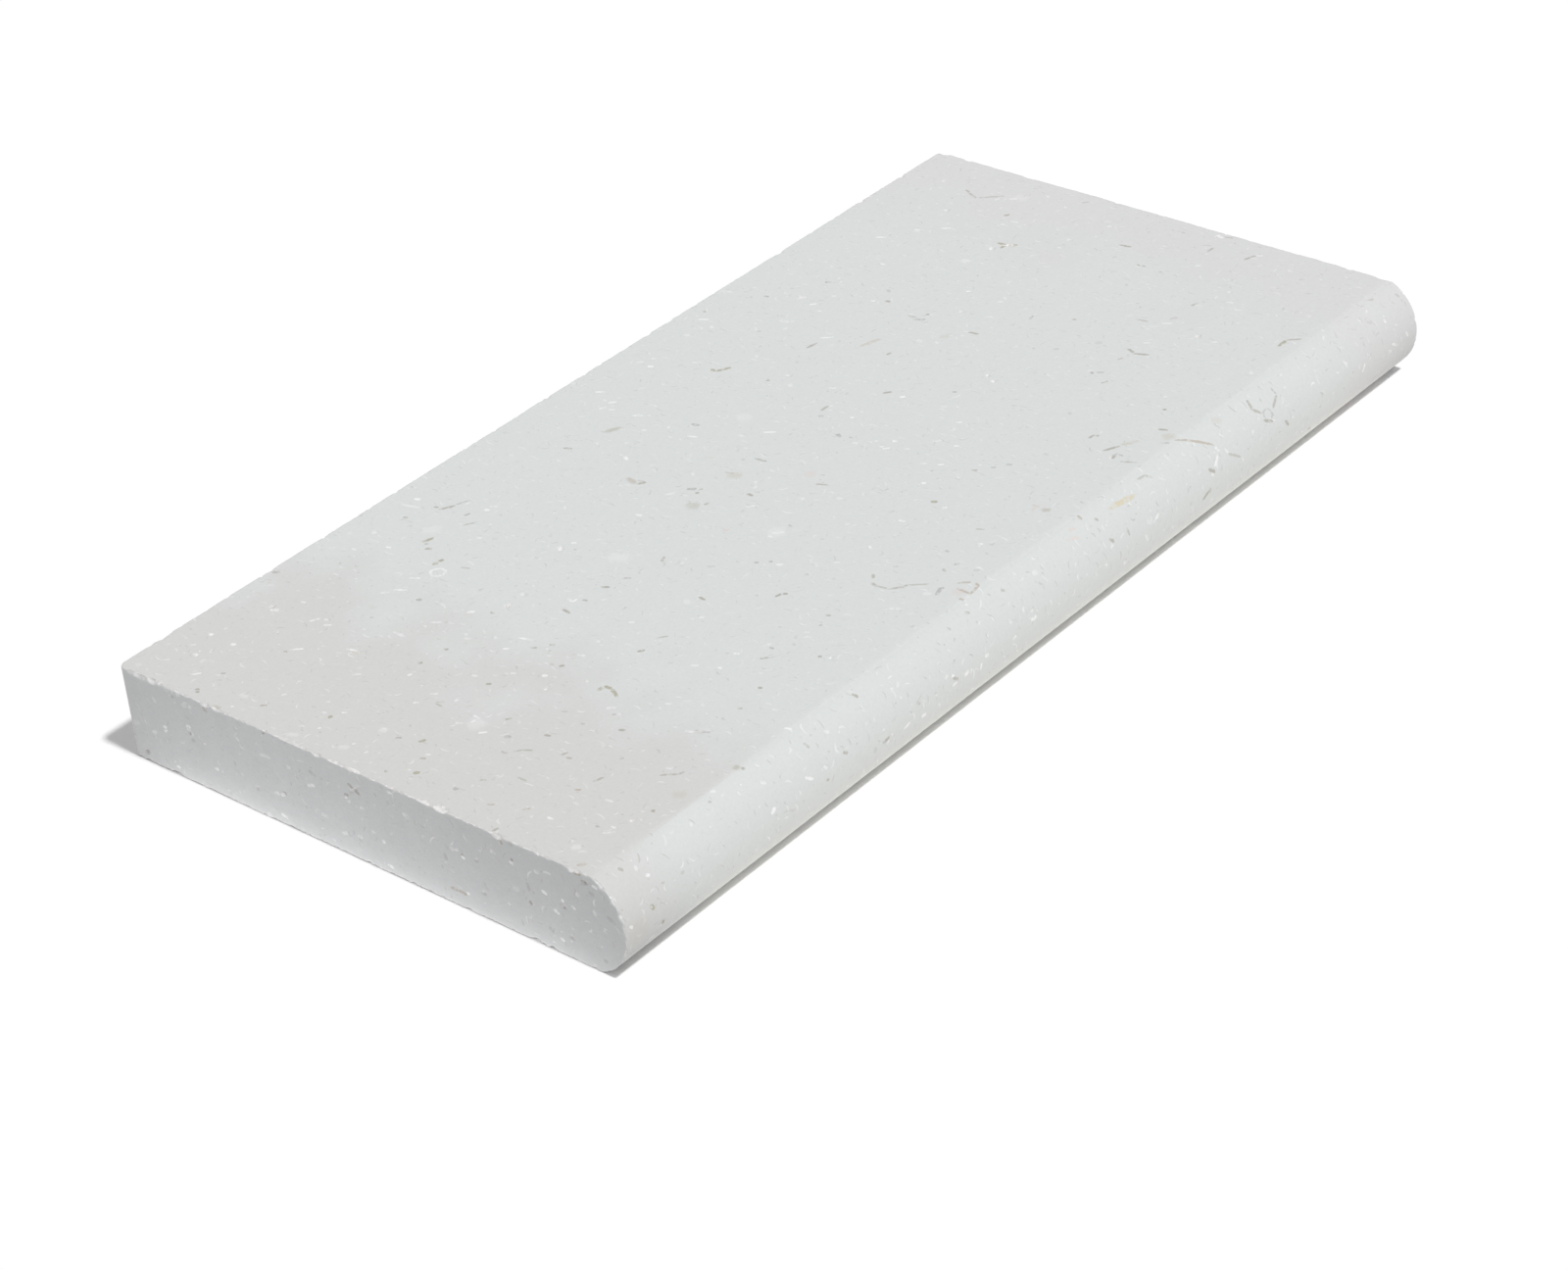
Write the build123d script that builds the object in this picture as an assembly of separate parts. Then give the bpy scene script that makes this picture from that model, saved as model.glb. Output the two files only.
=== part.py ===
"""Limestone pool coping: one sawn and honed slab with a bullnose along its water side.

Millimetres. The origin is the middle of the bed, the face that the slab lies on.
X runs along the slab, -Y points over the water and +Z is up.
"""

import os

from build123d import *

# Driving dimensions
length = 610.0  # 24 in, between the sawn ends
width = 305.0  # 12 in, from the heel to the crown of the nose
thickness = 49.0  # stone sold as 2 in or 5 cm, as sawn and honed
nose_depth = 15.7  # how far the crown stands out from the creases of the nose
corner_ease = 4.0  # worn radius of the heel's two upright corners, seen from above
arris_ease = 1.0  # worn radius of every other arris

# Places that follow from them
heel_y = width / 2
crown_y = -width / 2
crown_z = thickness / 2
crease_y = crown_y + nose_depth


def nose_section():
    """The slab seen from its end: a square heel, two flat faces and one arc as the nose.

    The arc through the crown is flatter than a half circle of the same height, so it
    meets the honed face and the bed at a crease and not in one smooth line.
    """
    with BuildSketch(Plane.YZ) as outline:
        with BuildLine():
            nose = ThreePointArc((crease_y, 0), (crown_y, crown_z), (crease_y, thickness))
            Polyline(nose @ 1, (heel_y, thickness), (heel_y, 0), nose @ 0)
        make_face()
    return outline.sketch


def is_crease(edge):
    """Whether an edge is one of the two lines along which the nose leaves a face."""
    return edge.geom_type == GeomType.LINE and abs(edge.center().Y - crease_y) < 0.001


def coping_slab():
    """The section carried from end to end, with its arrises worn round.

    The creases stay as the profile wheel left them.
    """
    slab = extrude(nose_section(), amount=length / 2, both=True)
    slab = fillet(slab.edges().filter_by(Axis.Z), corner_ease)
    return fillet(slab.edges().filter_by(is_crease, reverse=True), arris_ease)


os.makedirs("parts", exist_ok=True)
export_step(coping_slab(), "parts/coping_slab.step")
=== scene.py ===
"""Limestone pool coping: the honed, bullnosed slab with its worn arrises, shells and pits.

The slab lies on its bed. X runs along it, -Y points over the water and +Z is up.
Shapes are worked out in millimetres and written to the mesh in metres.
"""

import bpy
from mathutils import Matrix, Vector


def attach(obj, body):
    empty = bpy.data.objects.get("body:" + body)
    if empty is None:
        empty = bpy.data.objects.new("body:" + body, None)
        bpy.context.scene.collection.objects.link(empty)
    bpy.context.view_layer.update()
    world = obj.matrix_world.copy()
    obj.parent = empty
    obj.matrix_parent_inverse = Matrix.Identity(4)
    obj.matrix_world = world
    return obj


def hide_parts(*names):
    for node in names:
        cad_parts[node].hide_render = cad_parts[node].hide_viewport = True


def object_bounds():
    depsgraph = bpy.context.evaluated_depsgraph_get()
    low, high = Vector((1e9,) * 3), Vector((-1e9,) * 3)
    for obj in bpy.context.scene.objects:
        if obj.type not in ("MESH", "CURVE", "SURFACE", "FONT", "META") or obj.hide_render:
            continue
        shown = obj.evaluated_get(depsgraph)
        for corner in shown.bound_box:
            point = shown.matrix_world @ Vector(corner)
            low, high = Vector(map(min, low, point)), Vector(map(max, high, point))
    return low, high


bl_info = {
    "name": "Limestone Pool Coping",
    "version": (1, 0, 0),
    "blender": (4, 5, 0),
    "location": "View3D > Sidebar > Coping",
    "description": "A sawn and honed limestone coping with a worn bullnose, on a studio floor",
    "category": "Add Mesh",
}

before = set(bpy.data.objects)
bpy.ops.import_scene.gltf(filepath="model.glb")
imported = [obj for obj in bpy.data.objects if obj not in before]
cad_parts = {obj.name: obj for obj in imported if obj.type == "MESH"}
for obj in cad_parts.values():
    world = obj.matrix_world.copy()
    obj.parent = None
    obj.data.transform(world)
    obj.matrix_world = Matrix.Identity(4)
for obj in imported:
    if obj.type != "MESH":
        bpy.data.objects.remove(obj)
CAD_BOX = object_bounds()

import math
from collections import namedtuple

import bpy
import numpy as np
from bpy.props import FloatProperty, FloatVectorProperty, IntProperty, PointerProperty
from mathutils import Matrix, Vector

MM = 0.001
CAD_NODE = "coping_slab"
LOW, HIGH = CAD_BOX

# The slab's lattice: cells along the slab, round its section and in from each end
ALONG = 768
CAP = 32
FACE = 360
NOSE = 80
HEEL = 64
ROWS = ALONG + 2 * CAP
LOOP = 2 * FACE + NOSE + HEEL
MIRROR = 2 * FACE + NOSE
KNOTS = (0, FACE, FACE + NOSE, MIRROR, LOOP)
COARSEST = 3

# How near an arris, a break or a mark each fineness of cell begins, in millimetres
FINE_REACH = (3.0, 6.0, 12.0)
BREAK_MARGIN = 1.2
MARK_MARGIN = 0.4
CELL_ROOM = 1.0

# A break this small, this near an arris, needs no finer cells of its own
SMALL_BREAK = 3.0
ARRIS_BAND = 1.0

# Steps each side of a crease that are fine, and the turn from which an edge stays sharp
CREASE_STEPS = 4.5
SHARP_TURN = math.radians(32)

# Wear: the nose's share of it, and the raggedness that noise over a level adds
NOSE_WEAR = 0.3
RAGGED_FROM, RAGGED_ELSEWHERE, RAGGED_ON_NOSE = 0.35, 1.1, 0.5

# Roughness of broken stone, as a share of the break's depth and at most, in millimetres
TOOTH_SHARE, TOOTH_MOST = 0.35, 0.3

# How far past the crease the profile wheel's cut counts as sound stone, in millimetres
CREASE_BAND = 3.0

# Steps in which a point walks to the worn surface, and numbers a side in a noise's table
WALK_STEPS = 24
NOISE_TABLE = 32

# Marks: how far a stroke runs on, in half sizes where its edge fades out and how far off a
# face is looked at, and the coordinate of a face without a mark
MARK_TAIL = 0.3
MARK_FADE = 1.45
MARK_SEARCH = 1.5
NO_MARK = 9.0

# Space round each chart in the map, in millimetres
MAP_GAP = 6.0

# The camera, in metres and degrees, and the size of the photograph that it matches
CAMERA_PLACE = (-1.19422, -1.0622, 0.98241)
CAMERA_AZIMUTH, CAMERA_DOWN, CAMERA_ROLL = 42.249, 32.756, -5.068
SENSOR = 36.0
LENS = 88.70
PHOTO_WIDTH, PHOTO_HEIGHT = 1600, 1296

# Charts of the slab's surface, and how the seeded pits are shared out among them
WRAP, NEAR_END, FAR_END = 0, 1, 2
PIT_CHARTS = (WRAP,) * 5 + (NEAR_END, FAR_END)

# Seeded pits: half length, its share as half width and depth, and the room that they keep
PIT_LENGTHS, PIT_WIDTHS, PIT_DEPTHS = (0.9, 2.0), (0.45, 0.8), (0.4, 0.9)
PIT_OFF_SIDE, PIT_OFF_HEEL, PIT_OFF_FACE, PIT_ONWARD = 12.0, 8.0, 7.0, 60.0

# Seeded flakes: half length, its share as half width, depth, and lean in degrees
FLAKE_LEAST, FLAKE_MORE, FLAKE_POWER, FLAKE_WIDTHS = 0.7, 2.6, 0.45, (0.45, 0.9)
FLAKE_SHALLOWEST, FLAKE_DEPTHS, FLAKE_LEAN = 0.3, (0.22, 0.5), 35
FLAKE_SEED, PIT_SEED = 7, 41

Slab = namedtuple("Slab", "length heel_y half nose_radius nose_y crease_y nose_angle corner")
Lattice = namedtuple("Lattice", "quads triangles")
Breaks = namedtuple("Breaks", "centres shapes depths places reach")
Mark = namedtuple("Mark", "chart along across angle half_length half_width ring tint strength")
Pit = namedtuple("Pit", "chart along across angle half_length half_width depth")
Chip = namedtuple("Chip", "row step half_length half_width depth lean")
Scatter = namedtuple("Scatter", "spacing share radius thickness bend seed")

# Scatters of shell plates in the stone, in millimetres, and what a seed moves them by
WHITE_SHELLS = Scatter(5.2, 0.80, 2.7, 0.44, 0.25, 2.0)
GREY_SHELLS = Scatter(4.8, 0.85, 2.4, 0.34, 0.20, 4.0)
PORES = Scatter(5.0, 0.40, 0.9, 0.45, 0.0, 7.0)
RUST = Scatter(26.0, 0.35, 2.2, 0.7, 0.3, 8.0)
SEED_SHIFT = (137.1, 71.7, 53.9)

# Where the colour turns, in millimetres along the slab from its middle; on the nose the turn to greige is
# painted shade
DULL_FACE, GREIGE_NOSE_PAINTED_SHADE, NEUTRAL_FACE = (-170.0, -240.0), (-255.0, -300.0), (215.0, 270.0)
RAGGED_TURN = 30.0
CREASE_BLUR = 0.4
# The nose is painted 3% darker all along: painted shade
NOSE_DARKER_PAINTED_SHADE = 0.03

# The floor's painted glow, in place of light thrown back, in millimetres: its soft sides, reach, gap and
# fall
END_WINDOW, END_REACH = (-190.0, -100.0, 95.0, 170.0), 20.0
NOSE_WINDOW, NOSE_REACH, NOSE_GAP = (-308.0, -232.0, 225.0, 330.0), 35.0, 7.0
GLOW_FALL = -1.3
# NOSE_TINT is the warm colour of the floor's painted glow under the nose
WHITE, NOSE_TINT = (1.0, 1.0, 1.0), (1.0, 0.89, 0.76)
FLOOR_DROP = 0.1
LAMP_AWAY = 2.0


# Sizes and colours that a user would change


class SlabSizes(bpy.types.PropertyGroup):
    """The slab's overall sizes and how far its arrises are worn."""

    length: FloatProperty(
        name="Length", description="Between the sawn ends",
        default=round(HIGH.x - LOW.x, 4), unit="LENGTH",
    )
    width: FloatProperty(
        name="Width", description="From the heel to the crown of the nose",
        default=round(HIGH.y - LOW.y, 4), unit="LENGTH",
    )
    thickness: FloatProperty(
        name="Thickness", description="From the bed to the honed face",
        default=round(HIGH.z - LOW.z, 4), unit="LENGTH",
    )
    nose_depth: FloatProperty(
        name="Nose depth", description="How far the crown stands out from the creases",
        default=0.0157, unit="LENGTH",
    )
    corner_ease: FloatProperty(
        name="Corner ease", description="Worn radius of the heel's upright corners",
        default=0.004, unit="LENGTH",
    )
    wear_least: FloatProperty(
        name="Least wear", description="Smallest worn radius of an arris",
        default=0.0003, unit="LENGTH",
    )
    wear_most: FloatProperty(
        name="Most wear", description="Largest worn radius of an arris",
        default=0.0012, unit="LENGTH",
    )
    chips: IntProperty(
        name="Chips", description="Small chips spread along the arrises",
        default=340, min=0,
    )
    pits: IntProperty(
        name="Pits", description="Open pits spread over the faces",
        default=40, min=0,
    )


class StoneColours(bpy.types.PropertyGroup):
    """The limestone's colours."""

    body: FloatVectorProperty(
        name="Body", description="The honed stone between its shells",
        default=(0.686, 0.708, 0.702), subtype="COLOR", min=0, max=1,
    )
    # Greige: the darker, warmer colour toward the near end; where it lies on the nose it is painted shade
    greige: FloatVectorProperty(
        name="Greige", description="The duller stone toward the near end",
        default=(0.653, 0.653, 0.643), subtype="COLOR", min=0, max=1,
    )
    neutral: FloatVectorProperty(
        name="Neutral", description="The neutral stone toward the far end",
        default=(0.688, 0.690, 0.690), subtype="COLOR", min=0, max=1,
    )
    sawn: FloatVectorProperty(
        name="Sawn", description="The stone of the two sawn ends",
        default=(0.700, 0.707, 0.711), subtype="COLOR", min=0, max=1,
    )
    chalk: FloatVectorProperty(
        name="Chalk", description="White shell, and the stone where it is freshly broken",
        default=(0.91, 0.91, 0.91), subtype="COLOR", min=0, max=1,
    )
    shell: FloatVectorProperty(
        name="Shell", description="Grey-brown cut edges of shell",
        default=(0.43, 0.41, 0.37), subtype="COLOR", min=0, max=1,
    )
    ochre: FloatVectorProperty(
        name="Ochre", description="Rare iron-stained grains",
        default=(0.62, 0.55, 0.42), subtype="COLOR", min=0, max=1,
    )
    blush: FloatVectorProperty(
        name="Blush", description="The faint pink of rubbed arrises",
        default=(0.80, 0.765, 0.75), subtype="COLOR", min=0, max=1,
    )


class StudioSizes(bpy.types.PropertyGroup):
    """The floor, the light and the camera."""

    floor_width: FloatProperty(
        name="Floor", description="Width of the studio floor", default=8.0, unit="LENGTH",
    )
    floor_bounce: FloatProperty(
        name="Floor bounce", description="Share of the light that the floor throws back at the slab",
        default=0.75, min=0, max=1,
    )
    floor_lift: FloatProperty(
        name="Floor lift", description="Light added to the floor as the camera sees it",
        default=0.012, min=0,
    )
    # End glow and nose glow: the floor glows there for the slab only, painted light in place of light
    # thrown back
    end_glow: FloatProperty(
        name="End glow", description="Extra light thrown back by the floor before the near end",
        default=0.90, min=0,
    )
    nose_glow: FloatProperty(
        name="Nose glow", description="Extra light thrown back by the floor under the nose",
        default=0.65, min=0,
    )
    sky: FloatProperty(
        name="Sky", description="Strength of the even light from all round", default=0.42, min=0,
    )
    lamp_level: FloatProperty(
        name="Lamp level", description="How brightly the lamp lights a white surface that faces it",
        default=0.645, min=0,
    )
    lamp_height: FloatProperty(
        name="Lamp height", description="How high the lamp stands over the water side",
        default=math.radians(64), subtype="ANGLE",
    )
    lamp_width: FloatProperty(
        name="Lamp width", description="How wide the lamp looks from the slab",
        default=math.radians(5), subtype="ANGLE",
    )


# The sharp slab and its lattice


def slab_from(sizes):
    """The sharp slab's numbers in millimetres. The nose's radius comes from its depth and height."""
    # Pale stone, greige toward the near end and neutral toward the far end; on the nose that greige is
    # painted shade.
    half = sizes.thickness / MM / 2
    depth = sizes.nose_depth / MM
    heel_y = sizes.width / MM / 2
    radius = (half**2 + depth**2) / (2 * depth)
    return Slab(
        length=sizes.length / MM,
        heel_y=heel_y,
        half=half,
        nose_radius=radius,
        nose_y=radius - heel_y,
        crease_y=depth - heel_y,
        nose_angle=math.asin(half / radius),
        corner=sizes.corner_ease / MM,
    )


def loop_place(slab, step):
    """Height and depth of a step round the section.

    The loop runs straight from the heel to the crease along the honed face, turns by equal
    angles round the nose's arc, runs straight back along the bed and up the heel.
    """
    step = np.mod(step, LOOP).astype(float)
    y = np.interp(step, KNOTS, (slab.heel_y, slab.crease_y, slab.crease_y, slab.heel_y, slab.heel_y))
    z = np.interp(step, KNOTS, (2 * slab.half, 2 * slab.half, 0, 0, 2 * slab.half))
    on_nose = (step > FACE) & (step < FACE + NOSE)
    turn = slab.nose_angle * (1 - 2 * (step - FACE) / NOSE)
    y = np.where(on_nose, slab.nose_y - slab.nose_radius * np.cos(turn), y)
    z = np.where(on_nose, slab.half + slab.nose_radius * np.sin(turn), z)
    return y, z


def loop_length(slab, step):
    """Distance round the section from the heel's upper arris to a step, in millimetres."""
    face = slab.heel_y - slab.crease_y
    arc = 2 * slab.nose_angle * slab.nose_radius
    return np.interp(step, KNOTS, np.cumsum((0, face, arc, face, 2 * slab.half)))


def lattice_point(slab, row, step):
    """A point of the sharp slab, as a function of its row and of its step round the section.

    Between the ends a row is a section at one place along the slab. Beyond them the section
    shrinks in its end face, in equal shares, on to the line midway between honed face and bed.
    """
    y, z = loop_place(slab, step)
    middle = np.clip(y, slab.nose_y, slab.heel_y - slab.half)
    share = np.clip(np.minimum(row, ROWS - row) / CAP, 0, 1)
    x = np.clip((row - CAP) / ALONG - 0.5, -0.5, 0.5) * slab.length
    return np.stack([x, middle + (y - middle) * share, slab.half + (z - slab.half) * share], axis=-1)


def round_max(first, second, radius):
    """The larger of two signed distances, with the corner between them rounded to a radius."""
    outer = np.hypot(np.maximum(first + radius, 0), np.maximum(second + radius, 0))
    return np.minimum(np.maximum(first, second), -radius) + outer


def face_distances(slab, point, crease=0.0, ground=0.0):
    """Signed distances to the heel, to the nearer end and to the section, negative inside.

    The section's creases are rounded by crease, and its nose is ground in by ground.
    """
    heel = point[..., 1] - slab.heel_y
    end = np.abs(point[..., 0]) - slab.length / 2
    height = np.abs(point[..., 2] - slab.half)
    nose = np.hypot(point[..., 1] - slab.nose_y, height) - slab.nose_radius
    rounded = np.where(point[..., 1] < slab.nose_y, nose + ground, height - slab.nose_radius)
    return heel, end, round_max(height - slab.half, rounded, crease)


def eased_distance(slab, point, corner, arris, crease=0.0, ground=0.0):
    """Signed distance to the slab with its upright corners and its arrises rounded."""
    heel, end, section = face_distances(slab, point, crease, ground)
    return round_max(round_max(heel, end, corner), section, arris)


def outward(slab, point, spread=6.0, nudge=0.02):
    """Unit directions out of the slab: the slope of its signed distance, rounded broadly."""
    slope = [
        eased_distance(slab, point + nudge * axis, spread, spread)
        - eased_distance(slab, point - nudge * axis, spread, spread)
        for axis in np.eye(3)
    ]
    slope = np.stack(slope, axis=-1)
    return slope / np.linalg.norm(slope, axis=-1, keepdims=True)


def soft_noise(point, cell, seed):
    """Value noise from -1 to 1: random numbers at the corners of cubes, blended smoothly."""
    table = np.random.default_rng(seed).uniform(-1, 1, (NOISE_TABLE,) * 3)
    scaled = point / cell
    corner = np.floor(scaled).astype(int)
    part = scaled - corner
    part = part * part * (3 - 2 * part)
    total = 0.0
    for offset in np.ndindex(2, 2, 2):
        weight = np.prod(np.where(offset, part, 1 - part), axis=-1)
        x, y, z = np.moveaxis((corner + offset) % NOISE_TABLE, -1, 0)
        total = total + weight * table[x, y, z]
    return total


# The camera


def turned_towards(direction, roll=0.0):
    """A rotation that looks along a direction, with its right-hand side tipped by roll."""
    forward = Vector(direction).normalized()
    level = forward.cross(Vector((0, 0, 1))).normalized()
    upright = level.cross(forward)
    right = math.cos(roll) * level + math.sin(roll) * upright
    up = math.cos(roll) * upright - math.sin(roll) * level
    return Matrix((right, up, -forward)).transposed().to_4x4()


def camera_pose():
    """Where the camera stands and how it is turned, in metres."""
    azimuth, down, roll = (math.radians(turn) for turn in (CAMERA_AZIMUTH, CAMERA_DOWN, CAMERA_ROLL))
    ahead = (math.cos(azimuth) * math.cos(down), math.sin(azimuth) * math.cos(down), -math.sin(down))
    return Matrix.Translation(CAMERA_PLACE) @ turned_towards(ahead, roll)


# Marks, stains, pits and chips, placed one by one


def chart_place(slab, along, across):
    """Row and step of a place on the wrap: from the near end, and from the heel round the nose."""
    steps = np.arange(LOOP + 1)
    return CAP + along / slab.length * ALONG, np.interp(across, loop_length(slab, steps), steps)


def chart_point(slab, chart, along, across):
    """The point of the sharp slab at a place on a chart.

    On an end, along is the place across the slab and across is the height over the bed.
    """
    if chart == WRAP:
        return lattice_point(slab, *chart_place(slab, along, across))
    side = -0.5 if chart == NEAR_END else 0.5
    return np.array([side * slab.length, along, across])


def chart_axes(slab, chart, along, across, nudge=0.5):
    """Outward direction and the directions in which along and across grow."""
    centre = chart_point(slab, chart, along, across)
    if chart == WRAP:
        ahead = chart_point(slab, chart, along, across + nudge)
        down = (ahead - centre) / np.linalg.norm(ahead - centre)
        return np.cross(down, (1.0, 0.0, 0.0)), np.array([1.0, 0.0, 0.0]), down
    side = -1.0 if chart == NEAR_END else 1.0
    return np.array([side, 0.0, 0.0]), np.array([0.0, 1.0, 0.0]), np.array([0.0, 0.0, 1.0])


def seen_place(slab, x, y):
    """The chart, and the place on it, that a pixel of the photograph shows.

    The pixel's ray meets the honed face, or else the arc of the nose, or else the near end.
    """
    pose = np.array(camera_pose())
    pixel = SENSOR / LENS / PHOTO_WIDTH
    ray = pose[:3, :3] @ ((x - PHOTO_WIDTH / 2) * pixel, (PHOTO_HEIGHT / 2 - y) * pixel, -1.0)
    eye = pose[:3, 3] / MM
    point = eye + ray * (2 * slab.half - eye[2]) / ray[2]
    if abs(point[0]) < slab.length / 2 and slab.crease_y < point[1] < slab.heel_y:
        return WRAP, np.array([point[0] + slab.length / 2, slab.heel_y - point[1]])
    apart = eye[1:] - (slab.nose_y, slab.half)
    square, slope = ray[1:] @ ray[1:], apart @ ray[1:]
    under_root = slope**2 - square * (apart @ apart - slab.nose_radius**2)
    if under_root > 0:
        point = eye - ray * (slope + math.sqrt(under_root)) / square
        if abs(point[0]) < slab.length / 2 and point[1] < slab.crease_y:
            turned = slab.nose_angle - math.asin((point[2] - slab.half) / slab.nose_radius)
            across = slab.heel_y - slab.crease_y + slab.nose_radius * turned
            return WRAP, np.array([point[0] + slab.length / 2, across])
    point = eye - ray * (slab.length / 2 + eye[0]) / ray[0]
    return NEAR_END, point[1:]


# Tints of the marks and stains
SHELL = (0.43, 0.41, 0.37)
OLIVE = (0.42, 0.40, 0.31)
BROWN = (0.47, 0.40, 0.33)
TAN = (0.60, 0.57, 0.51)
OCHRE = (0.66, 0.59, 0.44)
CHALK = (0.93, 0.93, 0.93)
GREY = (0.46, 0.46, 0.45)
PINK = (0.72, 0.62, 0.58)


def marks_from(slab, groups):
    """Marks from groups of strokes: each has a tint, a strength, a half width and a ring.

    A stroke starts at a pixel of the photograph and runs so many pixels right and down. The
    half width is in millimetres. A ring above 0 leaves only the outline, of that share.
    """
    marks = []
    for tint, strength, half_width, ring, strokes in groups:
        for x, y, right, down in strokes:
            chart, start = seen_place(slab, x, y)
            end_chart, end = seen_place(slab, x + right, y + down)
            if chart != end_chart:
                raise ValueError(f"the stroke at {x}, {y} runs off its face")
            run = end - start
            middle = (start + end) / 2
            angle = math.degrees(math.atan2(run[1], run[0]))
            half_length = max(np.linalg.norm(run) / 2 + MARK_TAIL, half_width)
            sizes = half_length, half_width, ring
            marks.append(Mark(chart, *middle, angle, *sizes, tint, strength))
    return marks


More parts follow.
